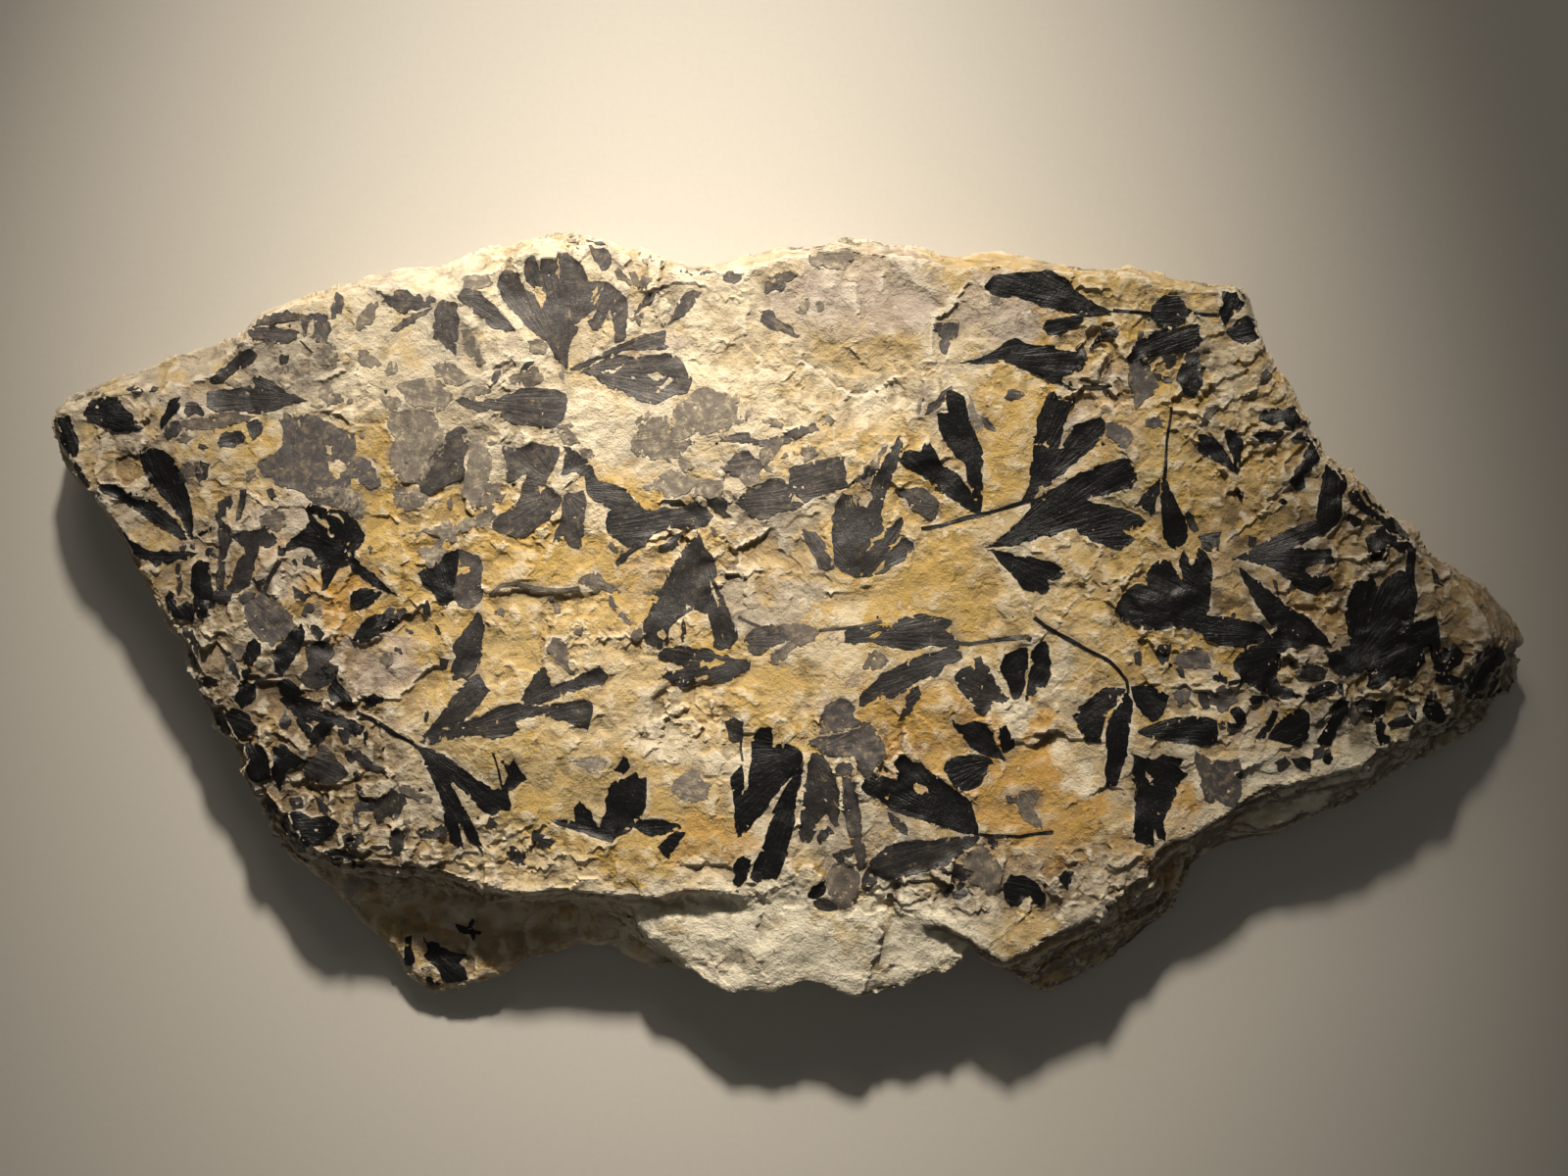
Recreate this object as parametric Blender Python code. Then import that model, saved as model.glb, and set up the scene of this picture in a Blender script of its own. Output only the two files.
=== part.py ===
"""Fossil ginkgo leaf slab: one broken slab of siltstone, lying on its flat back with the leaf face up.

The stone is drawn by its breaks. Each line below is an edge or a foot that can be felt with a finger, given
as (x, y, height) in millimetres above the back. The top is triangulated between those lines, and the outer
rim is then carried down to the back in three uneven courses, as bedded stone breaks.
+X runs along the slab, +Y across it, and +Z out of the leaf face. The leaf films are far thinner than a
solid can show, so they belong to the finish of this stone.
"""

import math

import bmesh
import bpy
from mathutils import Vector, noise
from mathutils.geometry import delaunay_2d_cdt

MM = 0.001
FACE_HEIGHT = 40.0  # leaf face above the back, the slab's thickness
LINE_STEP = 6.5  # spacing of the points along a break
FACE_STEP = 10.5  # spacing of the points on open stone
CLEAR_OF_LINE = 4.5  # an open point keeps at least this far from a break
RAGGED = 0.9  # sideways wander of a break
RAGGED_LENGTH = 13.0
ACROSS_SLICE = 7.0  # two unrelated slices of one noise give the wander's two directions
ALONG_SLICE = 97.0
GRID_WANDER = 2.0  # the open points wander this many times further than the breaks
SWELL = 1.1  # rise and fall of the leaf face
SWELL_LENGTH = 62.0
DISH_FADE = 1.6  # how quickly a dish fades: at its radius, under a tenth of its depth is left
ROUGH = 0.9  # roughness of the broken slopes
ROUGH_LENGTH = 9.0
COURSES = (0.34, 0.68)  # heights of the side's courses, as parts of the way down from the rim
COURSE_INSET = 1.6  # each course lies this much further in
COURSE_RAGGED = 1.1
BEDDING = 3.0  # a side changes this many times faster with height than along its length
NEAREST = 5  # break points that settle the height of an open point

# Outermost outline, clockwise from the left corner.
RIM = [
    (-303, 80, 30), (-303, 85, 28), (-301, 90, 26), (-292, 95, 24), (-275, 100, 24), (-267, 104, 24),
    (-248, 110, 24), (-238, 112, 24), (-225, 118, 30), (-217, 125, 32), (-207, 130, 28), (-196, 135, 26),
    (-175, 141, 25), (-161, 145, 24), (-148, 146, 24), (-123, 154, 24), (-102, 159, 24), (-91, 160, 25),
    (-84, 159, 25), (-65, 152, 27), (-49, 146, 30), (-39, 144, 31), (-29, 145, 30), (-17, 150, 27),
    (-2, 153, 26), (22, 157, 25), (37, 156, 25), (50, 153, 26), (71, 150, 27), (86, 151, 26), (99, 151, 26),
    (111, 147, 27), (122, 145, 28), (145, 144, 27), (153, 143, 27), (174, 138, 28), (186, 137, 28),
    (189, 134, 30), (194, 119, 32), (204, 100, 32), (216, 79, 32), (227, 67, 30), (239, 53, 30),
    (253, 38, 30), (263, 29, 30), (279, 18, 28), (289, 12, 26), (296, 5, 24), (305, -5, 20), (307, -10, 18),
    (304, -16, 16), (308, -28, 14), (305, -33, 13), (298, -34, 13), (295, -43, 10), (286, -51, 9),
    (272, -58, 9), (258, -64, 16), (246, -70, 20), (236, -78, 14), (224, -83, 9), (207, -92, 7),
    (197, -94, 6), (183, -98, 6), (171, -105, 6), (168, -111, 6), (163, -123, 6), (157, -130, 5),
    (139, -144, 5), (123, -154, 5), (110, -160, 6), (104, -158, 9), (98, -152, 15), (87, -145, 26),
    (75, -136, 35), (72, -140, 34), (64, -146, 33), (55, -149, 32), (44, -153, 31), (29, -157, 31),
    (24, -155, 32), (17, -151, 33), (5, -150, 33), (-3, -153, 32), (-20, -155, 31), (-26, -153, 30),
    (-41, -145, 28), (-51, -150, 11), (-56, -150, 10), (-70, -143, 9), (-74, -140, 9), (-88, -140, 9),
    (-109, -146, 10), (-122, -153, 9), (-141, -158, 8), (-150, -160, 7), (-155, -156, 8), (-166, -141, 10),
    (-177, -131, 10), (-200, -108, 13), (-209, -96, 20), (-216, -82, 28), (-226, -64, 30), (-228, -58, 30),
    (-233, -49, 31), (-238, -39, 31), (-242, -27, 31), (-251, -11, 32), (-259, -1, 32), (-266, 17, 32),
    (-276, 36, 32), (-285, 48, 32), (-293, 60, 32), (-299, 69, 31),
]

# Where the leaf face ends and a broken slope begins, clockwise from the left corner.
FACE_EDGE = [
    (-298, 80), (-296, 84), (-288, 86), (-281, 90), (-267, 92), (-246, 95), (-240, 98), (-231, 102),
    (-224, 107), (-220, 113), (-213, 121), (-201, 127), (-183, 132), (-172, 134), (-159, 135), (-143, 131),
    (-135, 133), (-125, 138), (-115, 143), (-106, 147), (-96, 150), (-85, 151), (-80, 153), (-72, 151),
    (-64, 147), (-56, 146), (-48, 142), (-39, 140), (-28, 140), (-16, 143), (-3, 146), (11, 150), (22, 152),
    (31, 150), (41, 148), (55, 146), (73, 142), (83, 144), (95, 143), (109, 141), (118, 139), (131, 140),
    (143, 139), (151, 136), (171, 133), (182, 133), (184, 130), (190, 117), (199, 98), (211, 77), (220, 66),
    (232, 52), (246, 37), (256, 28), (270, 17), (279, 10), (284, 2), (288, -6), (282, -14), (276, -24),
    (272, -34), (266, -38), (255, -45), (247, -49), (242, -53), (237, -59), (225, -63), (214, -66),
    (206, -68), (196, -69), (184, -78), (174, -83), (164, -89), (155, -92), (149, -99), (143, -107),
    (128, -118), (112, -128), (100, -134), (88, -140), (80, -134), (73, -130), (65, -126), (55, -122),
    (45, -118), (33, -114), (23, -117), (14, -114), (5, -109), (-4, -110), (-12, -113), (-20, -114),
    (-29, -111), (-40, -111), (-52, -114), (-64, -114), (-89, -112), (-112, -112), (-128, -110),
    (-141, -106), (-154, -104), (-168, -100), (-178, -102), (-185, -100), (-193, -95), (-200, -89),
    (-208, -80), (-221, -63), (-222, -57), (-228, -48), (-233, -38), (-237, -27), (-246, -10), (-254, 0),
    (-261, 17), (-271, 36), (-280, 48), (-288, 60), (-293, 68),
]

# Breaks between the face and the rim.
BREAKS = {
    "terrace_foot": [
        (-188, -112, 17), (-172, -111, 15), (-159, -113, 15), (-145, -115, 14), (-131, -119, 14),
        (-115, -121, 14), (-92, -121, 14), (-79, -123, 14), (-69, -127, 14), (-65, -133, 13), (-58, -140, 13),
        (-49, -146, 12),
    ],
    "terrace_lip": [
        (-169, -133, 14), (-163, -140, 14), (-152, -153, 11), (-140, -154, 12), (-123, -149, 13),
        (-108, -142, 13), (-87, -136, 13), (-76, -136, 13), (-66, -141, 13),
    ],
    "spall_lip": [(-62, -121, 32), (-60, -127, 31), (-56, -132, 31), (-48, -138, 30), (-41, -142, 29)],
    "spall_head": [
        (-54, -119, 32), (-40, -117, 32), (-29, -116, 33), (-21, -119, 34), (-13, -120, 36), (-4, -116, 38),
        (14, -119, 38), (33, -119, 38), (55, -127, 37), (66, -132, 35),
    ],
    "spall_middle": [(-42, -131, 32), (-23, -132, 33), (-1, -132, 36), (17, -133, 37)],
    "spall_far_side": [(49, -136, 36), (60, -139, 35)],
    "spur": [(42, -123, 38), (36, -132, 38), (31, -142, 36), (28, -153, 33)],
    "shelf_foot": [
        (189, -82, 28), (197, -77, 29), (208, -74, 30), (217, -71, 31), (227, -69, 32), (235, -66, 33),
    ],
    "shelf_lip": [
        (192, -89, 24), (202, -86, 26), (209, -82, 27), (220, -79, 27), (228, -75, 27), (240, -70, 26),
    ],
    "bedding_break": [
        (101, -147, 24), (105, -143, 27), (121, -136, 26), (133, -130, 25), (145, -123, 24), (161, -113, 22),
        (166, -98, 22), (181, -91, 20),
    ],
    "tip_break": [(282, -42, 22), (286, -33, 26), (291, -24, 28), (294, -16, 30), (297, -9, 30)],
}

# Broad dishes and rises of the leaf face: x, y, radius, depth in millimetres, where a rise has a minus.
DISHES = [
    (20, 96, 40, 2.2),  # smooth flake scar
    (100, 112, 34, 2.4),  # hollow that holds the upper leaf
    (-195, 55, 46, -1.8),  # swelling under the wide leaf
    (-95, 105, 44, -1.4),
    (-40, 20, 50, 1.6),
    (125, 30, 44, 1.4),
    (190, 0, 40, -1.6),
    (-110, -50, 48, -1.2),
    (95, -70, 38, 1.8),
    (215, -30, 34, -1.5),
]


def wander(x, y):
    """Sideways offset of a break at (x, y), the same for neighbouring lines so that they never cross."""
    across = noise.noise(Vector((x, y, ACROSS_SLICE)) / RAGGED_LENGTH)
    along = noise.noise(Vector((x, y, ALONG_SLICE)) / RAGGED_LENGTH)
    return across * RAGGED, along * RAGGED


def face_height(x, y):
    """Height of the leaf face at (x, y): slow swells, dishes and rises."""
    height = FACE_HEIGHT + SWELL * noise.noise(Vector((x, y, 0.0)) / SWELL_LENGTH)
    for dish_x, dish_y, radius, depth in DISHES:
        distance = math.hypot(x - dish_x, y - dish_y)
        height -= depth * math.exp(-((DISH_FADE * distance / radius) ** 2))
    return height


def walk(points, closed):
    """Points every LINE_STEP or less along a line, with its own points kept and its course made ragged."""
    ends = list(zip(points, points[1:] + points[:1] if closed else points[1:]))
    walked = []
    for start, end in ends:
        start, end = Vector(start), Vector(end)
        parts = max(1, round((end - start).length / LINE_STEP))
        walked += [start.lerp(end, part / parts) for part in range(parts)]
    if not closed:
        walked.append(Vector(points[-1]))
    for point in walked:
        shift_x, shift_y = wander(point.x, point.y)
        point.x += shift_x
        point.y += shift_y
    return walked


def inside(x, y, outline):
    """True if (x, y) is inside the closed outline."""
    crossings = 0
    for a, b in zip(outline, outline[1:] + outline[:1]):
        if (a.y > y) != (b.y > y) and x < a.x + (y - a.y) * (b.x - a.x) / (b.y - a.y):
            crossings += 1
    return crossings % 2 == 1


def slope_height(x, y, line_points):
    """Height of the broken slopes at (x, y), from the nearest points of the breaks."""
    nearest = sorted(((point.x - x) ** 2 + (point.y - y) ** 2, point.z) for point in line_points)[:NEAREST]
    weights = [1.0 / (squared + 1.0) for squared, _ in nearest]
    height = sum(weight * z for weight, (_, z) in zip(weights, nearest)) / sum(weights)
    return height + ROUGH * noise.noise(Vector((x, y, height)) / ROUGH_LENGTH)


def open_points(rim, face_edge, line_points):
    """A staggered grid of points on the open stone between the breaks, each with its height."""
    rows = FACE_STEP * math.sqrt(3) / 2
    left, right = min(p.x for p in rim), max(p.x for p in rim)
    low, high = min(p.y for p in rim), max(p.y for p in rim)
    found = []
    for row in range(int((high - low) / rows) + 1):
        for column in range(int((right - left) / FACE_STEP) + 1):
            x = left + (column + 0.5 * (row % 2)) * FACE_STEP
            y = low + row * rows
            shift_x, shift_y = wander(x, y)
            x += GRID_WANDER * shift_x
            y += GRID_WANDER * shift_y
            if not inside(x, y, rim):
                continue
            if min((p.x - x) ** 2 + (p.y - y) ** 2 for p in line_points) < CLEAR_OF_LINE**2:
                continue
            if inside(x, y, face_edge):
                height = face_height(x, y)
            else:
                height = slope_height(x, y, line_points)
            found.append(Vector((x, y, height)))
    return found


def triangulate(points, edges, outline):
    """Triangles over the outline, a loop of point numbers, that keep every edge."""
    flat = [point.to_2d() for point in points]
    corners, _, triangles, sources, _, _ = delaunay_2d_cdt(flat, edges, [outline], 1, 1e-5)
    if len(corners) != len(points) or any(len(source) != 1 for source in sources):
        raise ValueError("two breaks cross or touch")
    return [[sources[corner][0] for corner in triangle] for triangle in triangles]


def chain(start, count, closed):
    """Edges that join count points in a row, numbered from start."""
    edges = [(start + number, start + number + 1) for number in range(count - 1)]
    if closed:
        edges.append((start + count - 1, start))
    return edges


def outward(rim, number):
    """Outward direction of the clockwise rim at one of its points, smoothed over its neighbours."""
    along = rim[(number + 2) % len(rim)] - rim[number - 2]
    return Vector((-along.y, along.x)).normalized()


def side_course(rim, part, inset):
    """The rim carried down part of the way to the back, set in and made uneven."""
    course = []
    for number, point in enumerate(rim):
        z = point.z * (1.0 - part)
        wave = noise.noise(Vector((point.x, point.y, BEDDING * z)) / RAGGED_LENGTH)
        offset = outward(rim, number) * (COURSE_RAGGED * wave - inset)
        course.append(Vector((point.x + offset.x, point.y + offset.y, z)))
    return course


def slab_shape():
    """All points of the slab in millimetres, and its triangles."""
    rim = walk(RIM, closed=True)
    face_edge = walk([(x, y, FACE_HEIGHT) for x, y in FACE_EDGE], closed=True)
    for point in face_edge:
        point.z = face_height(point.x, point.y)
    points = list(rim) + face_edge
    edges = chain(0, len(rim), True) + chain(len(rim), len(face_edge), True)
    for line in BREAKS.values():
        walked = walk(line, closed=False)
        edges += chain(len(points), len(walked), False)
        points += walked
    points += open_points(rim, face_edge, list(points))
    rim_loop = list(range(len(rim)))
    triangles = triangulate(points, edges, rim_loop)

    courses = [side_course(rim, part, COURSE_INSET * (place + 1)) for place, part in enumerate(COURSES)]
    courses.append(side_course(rim, 1.0, COURSE_INSET * (len(COURSES) + 1)))
    upper = rim_loop
    for course in courses:
        lower = list(range(len(points), len(points) + len(course)))
        points += course
        for number in range(len(upper)):
            following = (number + 1) % len(upper)
            triangles.append([upper[number], upper[following], lower[following]])
            triangles.append([upper[number], lower[following], lower[number]])
        upper = lower
    back = triangulate(courses[-1], [], list(range(len(rim))))
    triangles += [[upper[corner] for corner in reversed(triangle)] for triangle in back]
    return points, triangles


def siltstone():
    """Buff siltstone: dull, pale, with no gloss."""
    material = bpy.data.materials.new("siltstone")
    material.use_nodes = True
    shader = material.node_tree.nodes["Principled BSDF"]
    shader.inputs["Base Color"].default_value = (0.47, 0.37, 0.22, 1.0)
    shader.inputs["Roughness"].default_value = 0.9
    shader.inputs["Metallic"].default_value = 0.0
    return material


def main():
    for old in list(bpy.data.objects):
        bpy.data.objects.remove(old, do_unlink=True)
    points, triangles = slab_shape()
    middle_x = (min(p.x for p in points) + max(p.x for p in points)) / 2
    middle_y = (min(p.y for p in points) + max(p.y for p in points)) / 2
    centred = [((p.x - middle_x) * MM, (p.y - middle_y) * MM, p.z * MM) for p in points]
    mesh = bpy.data.meshes.new("fossil_slab")
    mesh.from_pydata(centred, [], triangles)
    shape = bmesh.new()
    shape.from_mesh(mesh)
    bmesh.ops.recalc_face_normals(shape, faces=shape.faces)
    shape.to_mesh(mesh)
    shape.free()
    mesh.materials.append(siltstone())
    slab = bpy.data.objects.new("fossil_slab", mesh)
    bpy.context.scene.collection.objects.link(slab)


main()
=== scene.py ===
import math

import bmesh
import bpy
import numpy as np
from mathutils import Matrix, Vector
from mathutils.geometry import delaunay_2d_cdt


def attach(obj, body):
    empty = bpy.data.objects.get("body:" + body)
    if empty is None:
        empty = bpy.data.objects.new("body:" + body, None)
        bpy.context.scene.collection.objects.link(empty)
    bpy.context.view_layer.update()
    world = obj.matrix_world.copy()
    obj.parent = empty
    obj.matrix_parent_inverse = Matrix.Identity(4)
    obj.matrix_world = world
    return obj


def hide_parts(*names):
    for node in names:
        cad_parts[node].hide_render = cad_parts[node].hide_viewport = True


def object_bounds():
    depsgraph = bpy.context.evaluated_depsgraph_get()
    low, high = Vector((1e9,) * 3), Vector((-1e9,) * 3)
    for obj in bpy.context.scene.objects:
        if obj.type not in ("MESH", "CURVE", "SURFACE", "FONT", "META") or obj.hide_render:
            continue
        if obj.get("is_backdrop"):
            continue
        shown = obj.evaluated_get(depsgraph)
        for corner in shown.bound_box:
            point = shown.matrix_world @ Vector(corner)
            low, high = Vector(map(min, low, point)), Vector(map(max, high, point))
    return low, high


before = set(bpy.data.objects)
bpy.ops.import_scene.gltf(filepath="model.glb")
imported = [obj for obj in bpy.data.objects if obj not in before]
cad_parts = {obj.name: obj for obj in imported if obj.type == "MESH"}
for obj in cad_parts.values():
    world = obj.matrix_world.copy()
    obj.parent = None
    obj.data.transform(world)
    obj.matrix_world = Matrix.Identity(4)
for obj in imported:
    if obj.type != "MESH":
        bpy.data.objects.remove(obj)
CAD_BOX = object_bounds()

# Lengths are in millimetres and become metres only where a mesh is written.
MM = 0.001
FACE_HEIGHT = 40.0
EYE = np.array((-3.5, 12.0, 928.9))

# Outlines are drawn on a plan of the split face ruled in 0.4 mm squares, counted from its upper left corner,
# column then row, as the eye above the slab sees them.
SQUARE = 0.4
PLAN_LEFT, PLAN_TOP = -323.5, 252.0

# The stone is cut on a grid this fine before its relief is raised, then thinned to this many triangles.
VOXEL = 1.25
SLAB_TRIANGLES = 192_000
RELIEF = {"Swell mm": 1.1, "Rolls mm": 2.8, "Dimples mm": 2.6, "Pits mm": 4.5, "Flakes": 0.6, "Ridges": 0.8,
          "Grain mm": 0.35, "Bedding mm": 1.3, "Seed": 3.0}

# Leaf films: how far apart their points are and how near an outline; how far they stand above the stone and
# reach into it; the most that one is lifted over a bump; the steepest fall across a triangle before the film
# is torn.
FILM_SPACING, EDGE_ROOM = 1.5, 0.45
FILM_PROUD, FILM_SUNK = 0.16, 0.45
FILM_LIFT, FILM_FALL = 0.5, 2.6

# Leaves: name, tone, foot where the veins meet (None where they run side by side), lobes, flaked places, and
# stalks with their width in squares.
LEAVES = (
    ("corner_strip", "coal", None,
     ("55,425 71,425 74,432 80,452 79,466 72,466 65,455 59,445 53,435",), (), ()),
    ("corner_leaf", "coal", (84, 424),
     ("84,422 92,410 103,406 120,405 125,414 131,420 137,424 137,432 147,436 140,441 128,441 112,440 "
      "98,433 90,428",), (), ()),
    ("corner_sliver", "coal", None,
     ("172,407 184,405 185,412 178,422 172,430 165,438 163,430 168,420",), (), ()),
    ("corner_scraps", "worn", None,
     ("78,470 84,480 90,493 97,507 90,503 82,490 76,477", "130,398 140,393 147,397 140,402",
      "152,398 157,394 163,396 158,400", "170,436 177,430 184,430 186,437 180,443 172,449 168,442",
      "250,432 258,428 268,431 269,438 262,447 258,450 253,442",
      "224,446 232,440 245,441 250,447 246,453 238,458 228,458 222,452", "284,363 295,361 293,370 287,373"),
     (), ()),
    ("corner_ghosts", "faded", None,
     ("75,405 85,399 95,397 108,405 98,408 85,409", "183,430 195,427 205,427 222,432 220,442 205,440 "
      "190,438"), (), ()),
    ("hollow_leaf", "worn", None,
     ("256,355 263,362 255,372 240,379 228,389 220,392 215,388 222,380 235,370 246,360",), (), ()),
    ("left_wing", "worn", (313, 407),
     ("212,398 225,397 240,396 262,392 258,388 265,382 272,386 283,393 292,400 305,405 313,407 300,412 "
      "285,416 270,420 255,421 235,419 222,420 212,415 210,405",), (), ()),
    ("upper_straps", "faded_dark", None,
     ("255,331 264,325 273,320 291,317 306,319 306,326 291,330 273,333 257,334",
      "248,338 262,335 284,335 305,337 306,345 295,349 277,349 259,345",
      "307,319 320,320 335,321 337,330 333,349 322,349 324,341 317,346 311,343 309,331 307,326",
      "340,301 346,299 350,312 346,323 338,326 338,312"), ("314,332 318,330 321,335 317,341 314,338",), ()),
    ("upper_ghosts", "ghost", None,
     ("363,338 368,325 376,312 385,308 384,320 376,332", "556,238 567,237 567,241 558,242",
      "569,238 580,236 588,245 590,252 583,251 575,246", "652,258 660,258 666,264 661,270 655,266",
      "472,292 474,281 485,278 498,282 503,290 490,295"), (), ()),
    ("twin_lobes", "faded_dark", (447, 308),
     ("388,308 397,300 412,297 425,301 440,303 447,307 438,312 428,316 415,319 405,319 400,312",
      "400,336 408,328 425,320 440,313 447,309 436,320 420,328 408,334"), (), ()),
    ("hanging_strap", "dull", None,
     ("447,310 452,306 460,308 466,309 468,330 468,345 466,355 468,365 460,358 450,350 442,345 442,335 "
      "444,322",), (), ()),
    ("strap_pair", "dull", (466, 302),
     ("466,302 470,296 477,293 485,296 495,302 503,310 512,320 520,328 525,335 518,337 508,336 500,334 "
      "492,325 480,315 470,308",), (), ()),
    ("crest_scraps", "faded_dark", None,
     ("597,245 603,242 612,245 618,250 622,258 626,268 622,274 615,276 608,268 603,258 599,250",
      "738,280 745,276 757,278 758,285 750,290 742,287",
      "698,300 705,296 716,298 712,305 700,318 690,325 682,332 686,322 693,310",
      "645,318 655,308 665,300 672,297 665,308 655,316 648,322",
      "692,277 705,275 720,276 735,278 720,280 700,280",
      "776,318 785,317 795,325 805,333 815,340 812,345 800,340 790,336 782,332 776,326",
      "780,288 795,286 805,290 795,297 780,298"), (), ()),
    ("crown_fan", "dull", (578, 378),
     ("578,378 573,372 566,362 560,352 550,343 540,335 530,325 521,315 513,303 508,292 509,285 514,276 "
      "521,275 527,278 532,287 537,295 545,300 552,316 549,298 539,288 536,278 535,268 538,262 545,261 "
      "548,268 550,275 552,264 560,263 567,264 569,259 578,256 582,261 590,267 595,272 599,280 601,286 "
      "612,287 620,286 627,292 635,300 640,310 640,325 639,340 637,347 627,350 627,340 624,325 622,315 "
      "618,325 610,337 603,336 599,325 596,322 590,330 588,340 584,345 580,355 580,372",), ("545,292 "
      "553,290 557,303 553,312 547,303", "568,259 571,274 573,292 570,280",
      "598,325 604,318 611,313 606,322 599,329", "613,291 607,302 601,309 606,297",
      "617,294 612,305 606,313 610,302"), ()),
    ("crown_side_leaf", "dull", (578, 378),
     ("578,378 590,372 605,366 620,358 640,348 655,342 670,338 680,336 680,342 677,350 683,355 672,357 "
      "655,356 640,357 625,363 610,368 595,376",
      "590,380 610,370 625,363 640,363 655,363 672,361 688,361 697,368 702,378 706,386 704,394 700,400 "
      "690,403 680,407 668,412 655,409 643,404 638,399 620,395 612,388 600,382"), ("660,383 672,380 "
      "685,384 675,387 665,386", "668,394 680,389 690,388 680,393", "618,380 630,373 640,371 630,377"), ()),
    ("long_leaf", "dull", (464, 408),
     ("464,408 470,405 480,407 490,409 500,407 510,405 522,401 530,397 540,395 555,396 568,398 578,402 "
      "577,420 573,430 567,436 555,436 540,434 530,433 520,431 510,425 512,419 500,419 490,420 478,416 "
      "468,411",), (), ()),
    ("crown_scraps", "dull", None,
     ("500,388 505,380 512,377 510,385 503,391", "530,378 535,372 545,369 541,375"), (), ()),
    ("middle_leaf", "dull", (475, 440),
     ("432,480 438,470 445,460 452,450 460,440 470,435 477,440 481,450 476,460 473,470 475,480 470,490 "
      "460,492 450,498 440,505 430,502 427,490",), (), ()),
    ("middle_fan", "dull", (573, 500),
     ("513,455 525,456 535,455 543,451 555,453 565,455 572,456 570,465 566,475 560,485 556,492 562,500 "
      "567,502 573,508 572,515 562,525 555,532 545,540 538,548 528,550 520,545 510,543 502,540 503,530 "
      "512,523 522,518 528,510 532,500 535,490 540,480 532,485 525,490 518,492 516,480 516,470 512,462",
      "575,505 585,502 595,500 598,510 597,525 595,540 594,558 585,558 575,552 563,555 566,545 570,535 "
      "573,520"), ("547,496 553,497 556,501 550,503 546,500",), ()),
    ("middle_fan_dark_lobe", "worn", (573, 500),
     ("575,455 585,458 595,467 605,475 608,485 613,490 625,494 640,500 650,512 660,522 650,522 640,518 "
      "628,520 615,515 603,508 598,500 597,484 585,482 573,483 575,470",), (), ()),
    ("drift_blade", "ghost", None,
     ("410,545 422,542 440,540 455,530 462,527 460,538 470,530 480,527 500,525 500,535 485,540 470,542 "
      "460,545 470,552 460,553 445,547 430,546",), (), ()),
    ("striped_group", "worn", None,
     ("617,530 622,522 635,518 650,518 665,520 677,518 690,519 700,515 712,512 720,518 728,525 722,535 "
      "712,538 700,540 690,538 675,540 665,548 660,555 650,560 640,558 630,550 620,543",
      "722,510 735,505 741,512 740,522 745,528 735,525 728,518",
      "626,575 632,567 645,560 650,560 640,570 630,580",
      "672,560 680,552 690,545 700,540 698,548 688,558 678,562"), (), ()),
    ("big_wedge", "worn", (712, 540),
     ("712,540 708,548 700,556 692,566 685,578 678,592 670,606 662,620 658,635 657,648 661,657 670,660 "
      "680,660 682,650 683,642 692,632 700,626 708,620 713,622 720,628 725,640 728,650 728,660 735,662 "
      "745,663 753,652 750,640 746,628 742,618 738,608 733,598 730,592 733,585 730,575 727,567 722,562 "
      "717,552", "695,655 694,642 697,631 700,640 699,655"), ("672,645 676,642 680,646 678,652 673,651",
      "724,592 728,596 732,606 735,616 731,617 727,606"), ()),
    ("wedge_foot_leaf", "worn", (765, 676),
     ("675,663 690,660 705,660 720,662 735,668 750,670 765,675 765,683 755,688 745,695 735,697 722,695 "
      "712,698 700,701 690,700 682,693 675,690 682,685 695,683 700,680 690,676 680,675 672,670",),
     ("712,676 722,672 738,677 736,680 722,680 714,682", "708,690 718,688 722,692 716,696 709,695"), ()),
    ("stalked_leaf", "dull", (752, 655),
     ("760,655 760,648 770,641 780,638 795,637 803,645 806,653 795,657 785,662 775,668 765,668",), (),
     (("753,629 768,636 784,643 797,646", 3), ("836,643 858,641 878,638 900,634", 3))),
    ("stalked_ghost", "faded", (780, 678),
     ("797,637 815,636 830,638 838,642 835,648 825,655 815,660 806,668 800,675 790,678 782,675 790,665 "
      "805,655",), (), ()),
    ("small_fan_left", "coal", (462, 617),
     ("426,585 432,580 440,579 452,568 460,562 468,560 468,575 466,590 462,612 455,617 447,612 440,602 "
      "432,597",), (), ()),
    ("small_fan_right", "dull", (462, 617),
     ("468,560 475,562 482,565 490,570 493,580 491,592 492,605 488,615 480,620 470,618 462,612 466,590 "
      "468,575",), ("468,575 478,575 478,585 469,585",), ()),
    ("ochre_strap", "worn", (466, 692),
     ("488,624 493,630 494,645 492,660 490,675 483,687 478,693 470,690 462,695 460,685 464,670 462,660 "
      "468,650 475,640 482,632", "448,670 458,672 457,682 449,680"), (), ()),
    ("branch_leaf", "worn", (532, 718),
     ("532,715 536,705 542,695 548,685 555,680 560,690 562,700 572,698 585,692 600,685 612,681 620,688 "
      "618,697 608,700 595,702 582,706 570,710 555,715 545,718 535,720",), (), ()),
    ("branch_ghost", "faded", None,
     ("563,650 575,652 580,665 585,688 575,685 565,672 558,665",), (), ()),
    ("forked_leaf", "worn", (427, 757),
     ("427,757 435,752 445,745 455,742 468,738 480,735 492,730 505,722 518,718 530,718 545,720 558,718 "
      "570,717 585,715 598,713 603,715 605,725 603,735 600,745 590,742 578,737 565,733 550,730 535,733 "
      "525,735 530,745 520,750 510,753 500,755 490,750 478,750 465,752 450,755 440,760",
      "430,752 438,742 445,735 450,728 458,718 462,710 470,700 480,692 490,688 495,700 500,703 497,708 "
      "490,716 484,725 475,733 465,740 455,748 445,754 435,757"), (), ()),
    ("ledge_stalk", "faded", None,
     ("592,598 595,590 602,585 610,586 620,593 630,600 634,605 622,606 610,604 600,602",), (), (("500,607 "
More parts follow.
